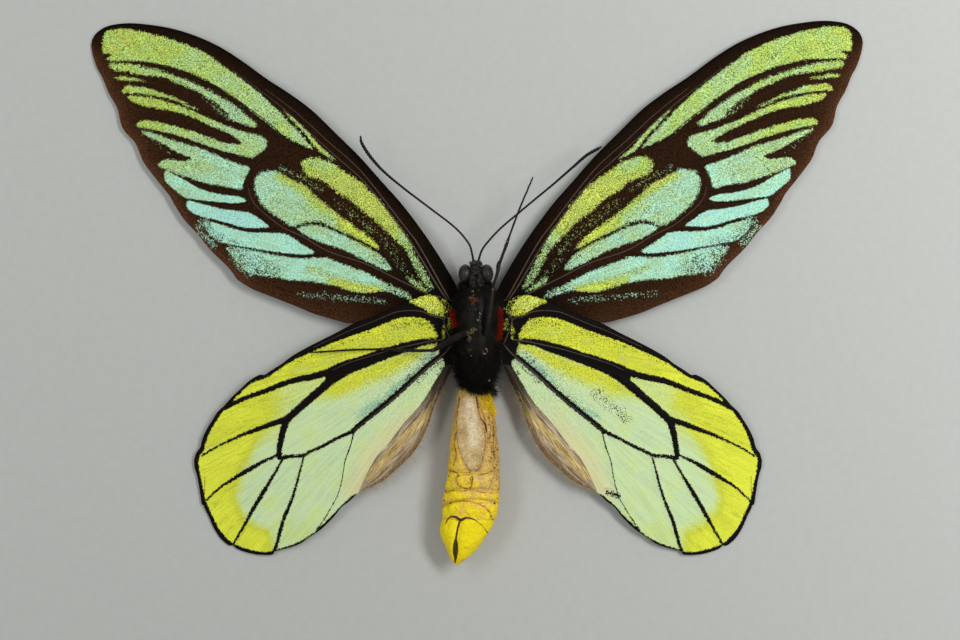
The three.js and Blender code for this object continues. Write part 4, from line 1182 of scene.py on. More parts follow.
def hair_tree():
    """Tapered, bent hairs scattered over a surface and combed along a direction."""
    tree = Tree(
        "hairs", Where="String", Density="Float", Length="Float", Radius="Float", Lay="Float", Bend="Float",
        Jitter="Float", Seed="Int")
    source = tree.inputs
    seed, length = source["Seed"], source["Length"]
    scatter = tree.node("GeometryNodeDistributePointsOnFaces", {
        "Mesh": source["Geometry"], "Seed": seed,
        "Density": tree.times(tree.named(source["Where"]), source["Density"])}).outputs
    strand = tree.node("GeometryNodeMeshCone", {
        "Vertices": 3, "Side Segments": 2, "Radius Top": 0.0, "Radius Bottom": source["Radius"],
        "Depth": length}, fill_type="NONE").outputs["Mesh"]
    position = tree.node("GeometryNodeInputPosition").outputs[0]
    share = tree.math("DIVIDE", tree.parts(position)["Z"], length)
    sway = tree.times(tree.times(share, share), tree.times(source["Bend"], length))
    offset = tree.node("ShaderNodeCombineXYZ", {"X": sway}).outputs[0]
    strand = tree.node("GeometryNodeSetPosition", {"Geometry": strand, "Offset": offset}).outputs[0]
    wild = tree.node("FunctionNodeRandomValue", {
        0: (-1, -1, -1), 1: (1, 1, 1), "Seed": seed}, data_type="FLOAT_VECTOR").outputs[0]
    combed = tree.scaled(tree.named("comb", "FLOAT_VECTOR"), source["Lay"])
    aim = tree.sum_of(tree.sum_of(scatter["Normal"], combed), tree.scaled(wild, source["Jitter"]))
    size = tree.node("FunctionNodeRandomValue", {2: SHORTEST_HAIR, 3: LONGEST_HAIR, "Seed": seed}).outputs[1]
    size = tree.times(size, tree.named("hair_length"))
    return tree.close(tree.place(scatter["Points"], strand, tree.turned_to(aim), size))


def tube_tree():
    """Round tubes along the edges of a mesh, with a radius for each point."""
    tree = Tree("tubes", Sides="Int")
    path = tree.node("GeometryNodeMeshToCurve", {"Mesh": tree.inputs["Geometry"]}).outputs[0]
    ring = tree.node("GeometryNodeCurvePrimitiveCircle", {"Resolution": tree.inputs["Sides"], "Radius": 1.0})
    tube = tree.node("GeometryNodeCurveToMesh", {
        "Curve": path, "Profile Curve": ring.outputs[0], "Scale": tree.named("radius"), "Fill Caps": True})
    return tree.close(tube.outputs[0])


def bead_tree():
    """Barrel-shaped joints threaded on points that carry a direction and a radius."""
    tree = Tree("beads", Length="Float")
    bead = tree.node("GeometryNodeMeshUVSphere", {"Segments": 10, "Rings": 8, "Radius": 1.0}).outputs[0]
    turn = tree.turned_to(tree.named("aim", "FLOAT_VECTOR"))
    radius = tree.named("radius")
    size = tree.node("ShaderNodeCombineXYZ", {"X": radius, "Y": radius, "Z": tree.inputs["Length"]})
    return tree.close(tree.place(tree.inputs["Geometry"], bead, turn, size.outputs[0]))


def hair_piece(hairs, name, base, slot, look, length, radius, **values):
    """Hairs on the furry part of a mesh as one piece, with their length and radius in millimetres."""
    piece = hairs.grow(
        name, base, Where="furry", Length=length * MM, Radius=radius * MM, Material=look, **values)
    finish_piece(piece, slot)


def to_side(xy, side, turn):
    """Places of the right side taken to a side: mirrored for the left one, then turned about the pin."""
    x, y = side * xy[:, 0], xy[:, 1]
    return np.column_stack([
        x * math.cos(turn) - y * math.sin(turn), x * math.sin(turn) + y * math.cos(turn)])


def vein_relief(xy, veins):
    """The membrane rises a little along each vein."""
    rise = np.zeros(len(xy))
    for path in veins:
        rise = np.maximum(rise, VEIN_RISE * bell(away_from(xy, path), VEIN_RISE_WIDTH))
    return rise


class Wing:
    """Grid of one pair of wings: places on the right side, heights and markings."""

    def __init__(self, front, rear, root, settings):
        self.root, self.ribs, self.rows = root, settings.ribs, settings.rows
        starts = evenly(curve_through(front), self.ribs)
        ends = evenly(curve_through(rear), self.ribs)
        share = np.linspace(0, 1, self.rows)[None, :, None]
        self.xy = (starts[:, None] * (1 - share) + ends[:, None] * share).reshape(-1, 2)
        away = self.xy - np.array(root[:2])
        distance = np.hypot(*away.T)
        self.reach = distance.max()
        self.ray = np.column_stack([np.arctan2(away[:, 1], away[:, 0]), distance, np.zeros(len(away))])
        self.rise = np.zeros(len(away))
        self.worn_right = np.zeros(len(away))
        self.marks = {}

    def height(self, xy):
        """Height of the lower face: highest at the root, on the floor at its farthest point."""
        away = np.hypot(*(xy - np.array(self.root[:2])).T)
        return self.root[2] * (1 - (np.minimum(away, self.reach) / self.reach) ** WING_DROOP)

    def faces(self):
        """Upper and lower sheets joined by a rim."""
        rows, count = self.rows, len(self.xy)
        faces = []
        for i in range(self.ribs - 1):
            for j in range(rows - 1):
                a, b = i * rows + j, (i + 1) * rows + j
                faces.append((a, b, b + 1, a + 1))
                faces.append((a + count, a + 1 + count, b + 1 + count, b + count))
        rim = list(range(rows))
        rim += [i * rows + rows - 1 for i in range(1, self.ribs)]
        rim += [(self.ribs - 1) * rows + j for j in range(rows - 2, -1, -1)]
        rim += [i * rows for i in range(self.ribs - 2, 0, -1)]
        for a, b in zip(rim, rim[1:] + rim[:1]):
            faces.append((a, b, b + count, a + count))
        return faces

    def mesh(self, name, side, turn, thickness):
        """The wing of one side, with its markings on both faces."""
        low = self.height(self.xy) + SHEET_LIFT + self.rise
        place = to_side(self.xy, side, turn)
        upper, lower = np.column_stack([place, low + thickness]), np.column_stack([place, low])
        mesh = mesh_from(name, np.vstack([upper, lower]), self.faces())
        marks = {**self.marks, "ray": self.ray + (0, 0, RAY_SHIFT * side)}
        if side > 0:
            marks["worn"] = np.maximum(marks["worn"], self.worn_right)
        for key, values in marks.items():
            set_values(mesh, key, np.concatenate([values, values]))
        return mesh

    def vein_paths(self, veins, side, turn, radius):
        """Edges that follow the veins just above the wing, each with a radius that tapers outwards."""
        points, edges, radii = [], [], []
        for path in veins.values():
            line = curve_through(path, 4)[:, :2]
            first = len(points)
            points += np.column_stack([to_side(line, side, turn), self.height(line) + VEIN_LIFT]).tolist()
            edges += [(first + i, first + i + 1) for i in range(len(line) - 1)]
            radii += np.linspace(radius, VEIN_TIP * radius, len(line)).tolist()
        mesh = bpy.data.meshes.new("vein_paths")
        mesh.from_pydata((np.array(points) * MM).tolist(), edges, [])
        set_values(mesh, "radius", radii)
        return mesh


def mark_forewing(wing):
    """Patches, fray, hue and ground tone for each point of the forewing."""
    xy = wing.xy
    patch = np.full(len(xy), FAR_OUTSIDE)
    fray = np.full(len(xy), 0.3)
    hue = np.full(len(xy), 0.3)
    for edge_fray, inner_hue, outer_hue, points in FOREWING_PATCHES.values():
        outline = curve_through(points, 4, closed=True)
        depth = inside_distance(xy, outline)
        along = (xy[:, 0] - outline[:, 0].min()) / np.ptp(outline[:, 0])
        own = inner_hue + (outer_hue - inner_hue) * np.clip(along, 0, 1)
        nearest = depth > patch
        patch[nearest] = depth[nearest]
        fray[nearest] = edge_fray
        hue[nearest] = own[nearest]
    for vein in ("first", "third"):
        beside = soft_step(away_from(xy, FOREWING_DARK_VEINS[vein]), 1.4, 0.4)
        patch += FOREWING_VEIN_TRIM * beside * soft_step(xy[:, 0], 44, 52)
    for streak_hue, reach, path in FOREWING_STREAKS:
        hue += (streak_hue - hue) * soft_step(away_from(xy, path), reach, 0)
    front = np.exp(-away_from(xy, FOREWING_FRONT) / 2.6)
    outer = np.exp(-away_from(xy, FOREWING_REAR[11:]) / 1.8)
    inner = np.exp(-away_from(xy, FOREWING_REAR[2:11]) / 3)
    ground = 0.5 - 0.5 * front + 0.5 * outer + 0.25 * inner
    wing.rise = vein_relief(xy, [*FOREWING_BARE_VEINS.values(), *FOREWING_DARK_VEINS.values()])
    wing.marks = {
        "patch": patch, "fray": fray, "hue": hue,
        "ground": ground * (0.15 + 0.85 * soft_step(wing.ray[:, 1], 5, 24)),
        "worn": np.maximum(strongest(xy, FOREWING_WORN), 0.1),
        "sprinkle": strongest(xy, FOREWING_SPRINKLES),
        "grit": np.clip(0.3 + 2.4 * (hue - 0.1), 0.42, 1.0),
    }


def mark_hindwing(wing):
    """Coloured field, bands, hue zones and fold for each point of the hindwing."""
    xy = wing.xy
    x, y = xy.T
    patch = depth_in(xy, HINDWING_FIELD)
    patch -= HINDWING_RIM * soft_step(x, 40, 50) * soft_step(y, -17, -22)
    patch = np.minimum(patch, -depth_in(xy, HINDWING_TRUNK))
    for band in HINDWING_BANDS.values():
        patch = np.minimum(patch, band_clearance(xy, band) - HINDWING_BAND_GAIN)
    for outline in (HINDWING_LOBE, HINDWING_ROOT_SPECKS, HINDWING_ROOT_STREAK):
        patch = np.maximum(patch, depth_in(xy, outline))
    hue = np.full(len(xy), 0.25)
    for zone_hue, softness, points in HINDWING_HUES:
        hue += (zone_hue - hue) * soft_step(depth_in(xy, points, 3), -softness, softness)
    reach, path = HINDWING_BLUE
    blue = soft_step(away_from(xy, path), reach, 0.2)
    hue += (0.05 - hue) * blue
    from_root = np.hypot(x - 6, y + 2)
    lobe = np.hypot((x - 8) / 4, (y - 3) / 3)
    grit = 0.26 + 0.42 * soft_step(from_root, 32, 10) + 0.9 * blue
    grit *= (1 - 0.3 * soft_step(y, -18, -26)) * (1 - 0.5 * soft_step(hue, 0.5, 0.25))
    border, edge = curve_through(FOLD_BORDER), curve_through(FOLD_EDGE)
    fold = inside_distance(xy, np.vstack([border, edge[::-1]]))
    beside, along = path_distance(xy, border)
    across = beside / (beside + path_distance(xy, edge)[0] + TINY)
    gold = soft_step(away_from(xy, FOLD_GOLD), 1.6, 0.2)
    wing.rise = vein_relief(xy, [*HINDWING_BARE_VEINS.values(), *HINDWING_BANDS.values()])
    wing.rise += FOLD_HEIGHT * soft_step(fold, 0, 1.6)
    wing.worn_right = strongest(xy, HINDWING_WORN_RIGHT)
    wing.marks = {
        "patch": patch, "hue": hue, "fold": fold,
        "fray": np.maximum(0.22, 0.55 * soft_step(from_root, 9, 3)),
        "worn": np.maximum(strongest(xy, HINDWING_WORN), 0.02),
        "sprinkle": 0.4 * soft_step(lobe, 1.1, 0.6),
        "grit": grit + 0.4 * soft_step(lobe, 1.9, 1.2),
        "fold_place": np.column_stack([across, along / (len(border) - 1), gold]),
        "cream": 0.85 * soft_step(beside, 5.5, 0.6) * soft_step(y, -15, -25),
    }


def build_wings(kind, wing, wings, material, bare, dark):
    """Both wings of a pair with their veins."""
    tubes = tube_tree()
    bare_look = vein_material(f"{kind}_bare_vein", srgb(70, 55, 47), 0.35)
    dark_look = vein_material(f"{kind}_dark_vein", srgb(20, 13, 9), 0.06)
    for name, side in SIDES:
        turn = LEFT_FOREWING_TURN if (kind, side) == ("forewing", -1) else 0.0
        mesh = wing.mesh(f"{kind}_{name}", side, turn, wings.thickness / MM)
        add_piece(f"{kind}_{name}_sheet", mesh, material, kind, f"{kind}_{name}")
        for label, veins, look, size in (("bare", bare, bare_look, 1.0), ("dark", dark, dark_look, 0.7)):
            paths = wing.vein_paths(veins, side, turn, wings.vein_radius * size)
            piece = tubes.grow(f"{kind}_{name}_{label}_veins", paths, Sides=6, Material=look)
            finish_piece(piece, kind)


class SPECIMEN_OT_forewings(bpy.types.Operator):
    """Build both forewings with their markings and veins"""

    bl_idname = "specimen.forewings"
    bl_label = "Forewings"

    def execute(self, context):
        wings = context.scene.specimen.wings
        wing = Wing(FOREWING_FRONT, FOREWING_REAR, FOREWING_ROOT, wings)
        mark_forewing(wing)
        look = forewing_material(wings)
        build_wings("forewing", wing, wings, look, FOREWING_BARE_VEINS, FOREWING_DARK_VEINS)
        return {"FINISHED"}


class SPECIMEN_OT_hindwings(bpy.types.Operator):
    """Build both hindwings with their bands, veins and the haired inner fold"""

    bl_idname = "specimen.hindwings"
    bl_label = "Hindwings"

    def execute(self, context):
        wings = context.scene.specimen.wings
        wing = Wing(HINDWING_FRONT, HINDWING_REAR, HINDWING_ROOT, wings)
        mark_hindwing(wing)
        look = hindwing_material(wings)
        build_wings("hindwing", wing, wings, look, HINDWING_BARE_VEINS, HINDWING_BANDS)
        self.fold_hairs(wing)
        return {"FINISHED"}

    def fold_hairs(self, wing):
        """Golden hairs that lie along the fold and a fringe that hangs over its edge."""
        look = hair_material("fold_hair", srgb(206, 178, 122), 1.3)
        hairs = hair_tree()
        fold = wing.marks["fold"]
        across, along, _ = wing.marks["fold_place"].T
        lying = soft_step(fold, 0.1, 0.7) * soft_step(along, 0.12, 0.42)
        hanging = soft_step(fold, 0.9, 0.3) * (fold > 0) * (across > 0.6) * soft_step(along, 0.2, 0.4)
        rows = (
            ("fold_hair", lying, (0.5, -0.9, 0), 2.6,
             {"Density": 4e6, "Bend": 0.12, "Jitter": 1.0, "Seed": 21}),
            ("fold_fringe", hanging, (-0.75, -0.6, 0.05), 2.0,
             {"Density": 1.2e7, "Bend": 0.2, "Jitter": 1.6, "Seed": 23}),
        )
        for name, side in SIDES:
            for label, where, (out, back, up), length, values in rows:
                mesh = wing.mesh(f"{label}_{name}", side, 0.0, HAIR_BASE)
                upper_face = np.concatenate([where, np.zeros(len(where))])
                comb_hairs(mesh, (side * out, back, up), upper_face)
                hair_piece(
                    hairs, f"hindwing_{name}_{label}", mesh, "hindwing", look, length, 0.03, Lay=5.0,
                    **values)


def ring_mesh(name, rings, thickness, across=30, round_sides=10):
    """One mesh of uneven oval rings that lie flat, each given by its centre and radius."""
    points, faces = [], []
    for (x, y, z), radius in rings:
        first = len(points)
        for a in full_turn(across):
            for b in full_turn(round_sides):
                uneven = 1 + 0.14 * math.sin(2 * a + 1) + 0.07 * math.sin(5 * a)
                out = radius * uneven + thickness * math.cos(b)
                over, up = 0.72 * out * math.cos(a), 1.3 * out * math.sin(a)
                points.append((
                    x + 0.92 * over + 0.39 * up, y - 0.39 * over + 0.92 * up, z + thickness * math.sin(b)))
        for i in range(across):
            for j in range(round_sides):
                k, m = (i + 1) % across, (j + 1) % round_sides
                faces.append(tuple(first + r * round_sides + c for r, c in ((i, j), (k, j), (k, m), (i, m))))
    return mesh_from(name, points, faces)


class SPECIMEN_OT_thorax(bpy.types.Operator):
    """Build the thorax with its black fur, bare plates, leg sockets and tufts"""

    bl_idname = "specimen.thorax"
    bl_label = "Thorax"

    def execute(self, context):
        body = context.scene.specimen.body
        hairs = hair_tree()
        rings, sides = 90, 64
        points = ring_points(THORAX_RINGS, rings, sides)
        middle = points * (0, 1, 0) + (0, 0, THORAX_AXIS)
        points = middle + (points - middle) * (1 + ripple(points, 1.4, 0.03, 5))[:, None]
        points[:, 2] = np.maximum(points[:, 2], 0)
        mesh = mesh_from("thorax", points, loft_faces(rings, sides))
        self.comb(mesh, points)
        base = mesh.copy()
        add_piece("thorax_body", mesh, chitin_material("thorax_skin", body.fur), "fur", "thorax")
        hair_piece(
            hairs, "thorax_fur", base, "fur", hair_material("thorax_fur", body.fur), body.fur_length / MM,
            body.hair_radius / MM, Density=body.fur_density, Lay=1.2, Bend=0.35, Jitter=1.0, Seed=3)
        self.tuft(hairs, "thorax_red_tufts", RED_TUFTS, 0.55, 0.5, body.red)
        self.tuft(hairs, "thorax_pale_tufts", PALE_TUFTS, 0.28, 0.5, srgb(138, 128, 88))
        self.tuft(hairs, "thorax_rear_tufts", REAR_TUFTS, 0.75, 1.7, body.fur)
        # Painted glints, drawn as short pale scales
        self.tuft(hairs, "thorax_glint_scales", GLINT_SCALES, 0.14, 0.24, srgb(200, 196, 186))
        self.tuft(hairs, "socket_tuft", [SOCKET_TUFT], 0.34, 0.45, srgb(96, 74, 52))
        self.tuft(hairs, "thorax_collar", COLLAR, 1.5, 0.8, body.fur)
        self.tuft(hairs, "abdomen_yellow_tufts", YELLOW_TUFTS, 0.7, 1.0, srgb(255, 222, 36))
        plates = joined_balls("thorax_plates", THORAX_PLATES)
        add_piece("thorax_plates", plates, gloss_material("plate_gloss", srgb(12, 9, 7), 0.9), "fur")
        self.tuft(hairs, "thorax_brown_crumbs", BROWN_CRUMBS, 0.34, 0.4, srgb(158, 102, 64))
        collar = joined_balls("thorax_collar_skin", round_shapes(COLLAR, 1.4))
        add_piece("thorax_collar_skin", collar, chitin_material("collar_skin", body.fur), "fur")
        self.sockets()
        return {"FINISHED"}

    def comb(self, mesh, points):
        """Fur lies back along the body, is short between the legs and stands out at the sides."""
        x, y, z = points.T
        bare = 0.6 * soft_step(np.hypot(x / 3.2, (y - 0.5) / 7), 1.1, 0.7) * (z > 9)
        for centre, radius in LEG_SOCKETS:
            bare = np.maximum(bare, soft_step(np.hypot(x - centre[0], y - centre[1]), radius + 0.6, radius))
        clear = np.ones(len(points))
        for tuft in RED_TUFTS:
            clear *= 1 - soft_step(np.hypot(x - tuft[0], y - tuft[1]), 1.2, 0.8) * (z > 6)
        set_values(mesh, "furry", soft_step(z, 1.5, 4) * (1 - 0.75 * bare) * clear)
        side = soft_step(np.abs(x), 3.2, 4.8)
        rear = soft_step(y, -5, -13)
        length = 0.7 + (0.4 + 0.9 * rear) * side + 0.6 * rear - 0.3 * bare + ripple(points, 0.5, 0.5, 53)
        set_values(mesh, "hair_length", np.maximum(length, 0.3))
        set_values(mesh, "comb", np.column_stack([
            0.3 * np.sign(x) * side + ripple(points, 0.55, 1.5, 41),
            -1.0 + 0.5 * side + ripple(points, 0.6, 1.1, 43),
            0.3 * (z < 6) + ripple(points, 0.5, 0.8, 47)]))

    def tuft(self, hairs, name, centres, size, length, colour):
        """Small brushes of loose hair on balls of one size."""
        mesh = comb_hairs(joined_balls(name, round_shapes(centres, size), 16, 10), (0, -0.7, 0.3))
        hair_piece(
            hairs, name, mesh, "fur", hair_material(name, colour, 1.3), length, 0.05, Density=3.5e7, Lay=0.8,
            Bend=0.3, Jitter=0.8, Seed=17)

    def sockets(self):
        """Open sockets of lost legs: a worn rim round a glossy plug."""
        rims = ring_mesh("leg_socket_rims", LEG_SOCKETS, 0.13)
        add_piece("leg_socket_rims", rims, worn_material(srgb(172, 126, 96)), "fur")
        plugs = [((x, y, z - 0.25), (radius, radius, 0.4)) for (x, y, z), radius in LEG_SOCKETS]
        plugs = joined_balls("leg_socket_plugs", plugs, 20, 12)
        add_piece("leg_socket_plugs", plugs, gloss_material("socket_plug", srgb(26, 18, 13), 0.3), "fur")


class SPECIMEN_OT_head(bpy.types.Operator):
    """Build the head with its palps, fur and faceted eyes"""

    bl_idname = "specimen.head"
    bl_label = "Head"

    def execute(self, context):
        mesh = comb_hairs(joined_balls("head", HEAD_BALLS, 32, 22), (0, 0.5, 0.4))
        base = mesh.copy()
        add_piece("head_body", mesh, head_material(), "fur", "head")
        look = hair_material("head_fur", srgb(30, 26, 24))
        hair_piece(
            hair_tree(), "head_fur", base, "fur", look, 0.55, 0.045, Density=0.5e7, Lay=0.9, Bend=0.2,
            Jitter=0.6, Seed=12)
        look = eye_material(context.scene.specimen.body.eye)
        for name, centre in EYES.items():
            eye = joined_balls(f"eye_{name}", [(centre, EYE_RADII)], 48, 32)
            add_piece(f"eye_{name}_ball", eye, look, "eye", f"eye_{name}")
        return {"FINISHED"}


class SPECIMEN_OT_abdomen(bpy.types.Operator):
    """Build the abdomen and the two claspers at its tip"""

    bl_idname = "specimen.abdomen"
    bl_label = "Abdomen"

    def execute(self, context):
        look = abdomen_material(context.scene.specimen.body)
        rings, sides = 260, 150
        points = self.dried(ring_points(ABDOMEN_RINGS, rings, sides))
        mesh = mesh_from("abdomen", points, loft_faces(rings, sides))
        x, y, _ = points.T
        dull = 0.35 * soft_step(x, -3, 1) * soft_step(y, -40, -36)
        self.mark(mesh, points, 0.25 + 0.5 * soft_step(y, -27, -38) + 0.22 * soft_step(x, -2, -6) - dull)
        add_piece("abdomen_body", mesh, look, "abdomen", "abdomen")
        for name, side in SIDES:
            self.clasper(name, side, look)
        self.core()
        return {"FINISHED"}

    def arch(self, points):
        """Segment joints bow back a little in the middle of the underside."""
        bow = 0.5 + 0.9 * soft_step(points[:, 1], -35, -39)
        return points[:, 1] - bow * (1 - ((points[:, 0] - ABDOMEN_AXIS[0]) / 6) ** 2)

    def dried(self, points):
        """Grooves at the joints, a sunken belly and small dents."""
        middle = points * (0, 1, 0) + (ABDOMEN_AXIS[0], 0, ABDOMEN_AXIS[1])
        level = self.arch(points)
        shrink = np.ones(len(points))
        for joint in SEGMENT_JOINTS:
            depth = 0.022 if joint > -36 else 0.045
            shrink -= depth * bell(level - joint, 0.34)
            shrink += 0.008 * bell(level - joint - 1.2, 0.9)
        shrink += ripple(points, 0.9, 0.026, 9) + ripple(points, 0.4, 0.012, 4)
        points = middle + (points - middle) * shrink[:, None]
        hollow = 1 - ((points[:, 0] + 1.6) / 3.2) ** 2 - ((points[:, 1] + 23.5) / 9) ** 2
        points[:, 2] -= np.where(points[:, 2] > ABDOMEN_AXIS[1], 1.1 * np.maximum(hollow, 0), 0)
        return points

    def mark(self, mesh, points, ripe):
        """Belly patch with its pale middle, partly a painted highlight, ripeness of the yellow, cracks,
        painted light and shade at the segment folds, flecks, dark spots and painted shade along the slit.
        """
        xy, top = points[:, :2], points[:, 2] > ABDOMEN_AXIS[1]
        x, y = xy.T
        set_values(mesh, "belly", np.where(top, depth_in(xy, BELLY_PATCH), -NOWHERE))
        # Distance to the line of the pale middle and its painted highlight
        pale, _ = path_distance(xy, np.array(BELLY_HIGHLIGHT_LINE))
        set_values(mesh, "pale", 0.8 * soft_step(pale, 2.1, 0.1) * top)
        set_values(mesh, "ripe", np.ones(len(points)) * ripe)
        level = self.arch(points)
        lines = [np.where(top, away_from(xy, path), NOWHERE) for path in SKIN_CRACKS]
        lines += [np.where(top, NOWHERE, np.abs(level - joint)) for joint in SEGMENT_JOINTS]
        set_values(mesh, "crack", np.min(lines, axis=0))
        # Painted light and shade at the rear segment folds: a lighter band towards the tail from each joint
        # and a narrow shade line just towards the head
        painted_fold_light_and_shade = np.ones(len(points))
        for joint in SEGMENT_JOINTS[3:]:
            painted_fold_light_and_shade += 0.1 * bell(level - joint + 1.1, 0.7) - 0.17 * bell(level - joint - 0.3, 0.35)
        set_values(mesh, "painted_fold_light_and_shade", painted_fold_light_and_shade)
        side = soft_step(x, 1.4, 2.6) * soft_step(y, -38, -31)
        set_values(mesh, "flecked", (0.8 * side + 0.2) * soft_step(y, -43, -40))
        seam, along_seam = path_distance(xy, curve_through(CLASPER_SEAM))
        torn, along_tear = path_distance(xy, curve_through(TORN_EDGE))
        # Dark marks: the seam, painted shade along the slit, the lens, the torn edge and the spots
        dark = [
            0.08 + 0.22 * bell(along_seam - 26, 16) - seam, 0.2 - away_from(xy, SLIT_SHADE_LINE),
            depth_in(xy, CLASPER_LENS), 0.03 + 0.15 * np.cos(0.11 * along_tear) ** 2 - torn]
        dark += [radius - np.hypot(x - spot_x, y - spot_y) for spot_x, spot_y, radius in SKIN_SPOTS]
        set_values(mesh, "dark", np.where(top, np.max(dark, axis=0), -NOWHERE))

    def clasper(self, name, side, look):
        """One half of the tip, cut along the slit."""
        rings, sides = 120, 130
        points = ring_points(TIP_RINGS, rings, sides)
        (x0, y0), (x1, y1), width = CLASPER_SLIT
        middle = x0 + (points[:, 1] - y0) / (y1 - y0) * (x1 - x0)
        dip = 0.55 * bell(points[:, 0] - middle, 0.7) * soft_step(points[:, 1], -51.5, -49)
        points[:, 2] -= np.where(points[:, 2] > 6, dip, 0)
        work = bmesh.new()
        work.from_mesh(mesh_from("tip", points, loft_faces(rings, sides)))
        across = np.array((y0 - y1, x1 - x0, 0.0)) / math.hypot(x1 - x0, y1 - y0)
        place = (np.array((x0, y0, 5.0)) + across * side * width / 2) * MM
        cut = bmesh.ops.bisect_plane(
            work, geom=work.verts[:] + work.edges[:] + work.faces[:], plane_co=place,
            plane_no=across * -side, clear_outer=True)
        rim = [e for e in cut["geom_cut"] if isinstance(e, bmesh.types.BMEdge)]
        bmesh.ops.holes_fill(work, edges=rim, sides=0)
        bmesh.ops.recalc_face_normals(work, faces=work.faces)
        mesh = bpy.data.meshes.new(f"clasper_{name}")
        work.to_mesh(mesh)
        work.free()
        mesh.polygons.foreach_set("use_smooth", [len(p.vertices) <= 4 for p in mesh.polygons])
        self.mark(mesh, points_of(mesh), CLASPER_RIPE)
        add_piece(f"clasper_{name}_shell", mesh, look, "abdomen", f"clasper_{name}")

    def core(self):
        """Dark filler inside the slit: the dried inside, darkened to stand for the shade in the slit."""
        (x0, y0), (x1, y1), _ = CLASPER_SLIT
        rows = []
        for y, _, _, bottom, top in TIP_RINGS[1:-1]:
            x = x0 + (y - y0) / (y1 - y0) * (x1 - x0)
            rows.append((y, x - 0.3, x + 0.3, bottom + 0.6, top - 1.0))
        rings, sides = 40, 20
        mesh = mesh_from("clasper_slit_shade", ring_points(rows, rings, sides), loft_faces(rings, sides))
        add_piece("clasper_slit_shade", mesh, chitin_material("slit_shade_filler", srgb(58, 30, 18)), "abdomen")


def limb_frames(route, count):
    """Centres, radii and directions along a limb."""
    path = evenly(curve_through(route, 8), count)
    aim = np.gradient(path[:, :3], axis=0)
    aim /= np.linalg.norm(aim, axis=1)[:, None]
    return path[:, :3], path[:, 3], aim


class SPECIMEN_OT_antennae(bpy.types.Operator):
    """Build both antennae from many small joints"""

    bl_idname = "specimen.antennae"
    bl_label = "Antennae"

    def execute(self, context):
        look = chitin_material("antenna_skin", context.scene.specimen.body.chitin)
        beads = bead_tree()
        for name, route in ANTENNAE.items():
            centres, radii, aim = limb_frames(route, ANTENNA_JOINTS)
            step = np.linalg.norm(centres[1] - centres[0])
            mesh = bpy.data.meshes.new("antenna_points")
            mesh.from_pydata((centres * MM).tolist(), [], [])
            set_values(mesh, "radius", radii * MM * 1.15)
            set_values(mesh, "aim", aim)
            piece = beads.grow(f"antenna_{name}_joints", mesh, Length=0.72 * step * MM, Material=look)
            finish_piece(piece, "limb", f"antenna_{name}")
        return {"FINISHED"}


class SPECIMEN_OT_legs(bpy.types.Operator):
    """Build both legs with bristles and knees"""

    bl_idname = "specimen.legs"
    bl_label = "Legs"

    def execute(self, context):
        look = chitin_material("leg_skin", context.scene.specimen.body.chitin)
        knee_look = chitin_material("leg_knee", srgb(96, 62, 40))
        hairs = hair_tree()
        for name, route in LEGS.items():
            mesh = self.leg_mesh(f"leg_{name}", route)
            base = mesh.copy()
            add_piece(f"leg_{name}_joints", mesh, look, "limb", f"leg_{name}")
            hair_piece(
                hairs, f"leg_{name}_bristles", base, "limb", look, 0.55, 0.03, Density=5e6, Lay=1.2, Bend=0.1,
                Jitter=0.3, Seed=31)
            knees = [(centre, (radius, radius, radius)) for centre, radius in LEG_JOINTS[name]]
            knees = joined_balls(f"leg_{name}_knees", knees, 18, 12)
            add_piece(f"leg_{name}_knees", knees, knee_look, "limb")
        return {"FINISHED"}

    def leg_mesh(self, name, route):
        """Round skin along a leg, with bristles combed outwards."""
        rings, sides = 150, 14
        centres, radii, aim = limb_frames(route, rings)
        across = np.cross(aim, (0, 0, 1.0))
        across /= np.linalg.norm(across, axis=1)[:, None]
        over = np.cross(across, aim)
        angle = full_turn(sides)[None, :, None]
        circle = across[:, None] * np.cos(angle) + over[:, None] * np.sin(angle)
        points = (centres[:, None] + circle * radii[:, None, None]).reshape(-1, 3)
        return comb_hairs(mesh_from(name, points, loft_faces(rings, sides)), np.repeat(aim, sides, axis=0))


class SPECIMEN_OT_pin(bpy.types.Operator):
    """Build the insect pin"""

    bl_idname = "specimen.pin"
    bl_label = "Pin"

    def execute(self, context):
        low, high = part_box("pin")
        head = (high[0] - low[0]) / 2 / MM
        length = high[2] / MM
        # Radius and height of each ring
        profile = [
            (head * 0.92, 0), (head, 0.08), (head, 0.3), (head * 0.9, 0.45), (0.43, 0.58), (0.29, 0.66),
            (0.27, 0.8), (0.27, length - 2.4), (0.15, length - 1.0), (0.05, length - 0.25), (0.02, length),
        ]
        sides = 28
        angle = full_turn(sides)
        points = np.vstack([
            np.column_stack([r * np.cos(angle), r * np.sin(angle), np.full(sides, z)]) for r, z in profile])
        mesh = mesh_from("pin", points, loft_faces(len(profile), sides))
        add_piece("pin_wire", mesh, steel_material(context.scene.specimen.body.steel), "pin_steel", "pin")
        return {"FINISHED"}


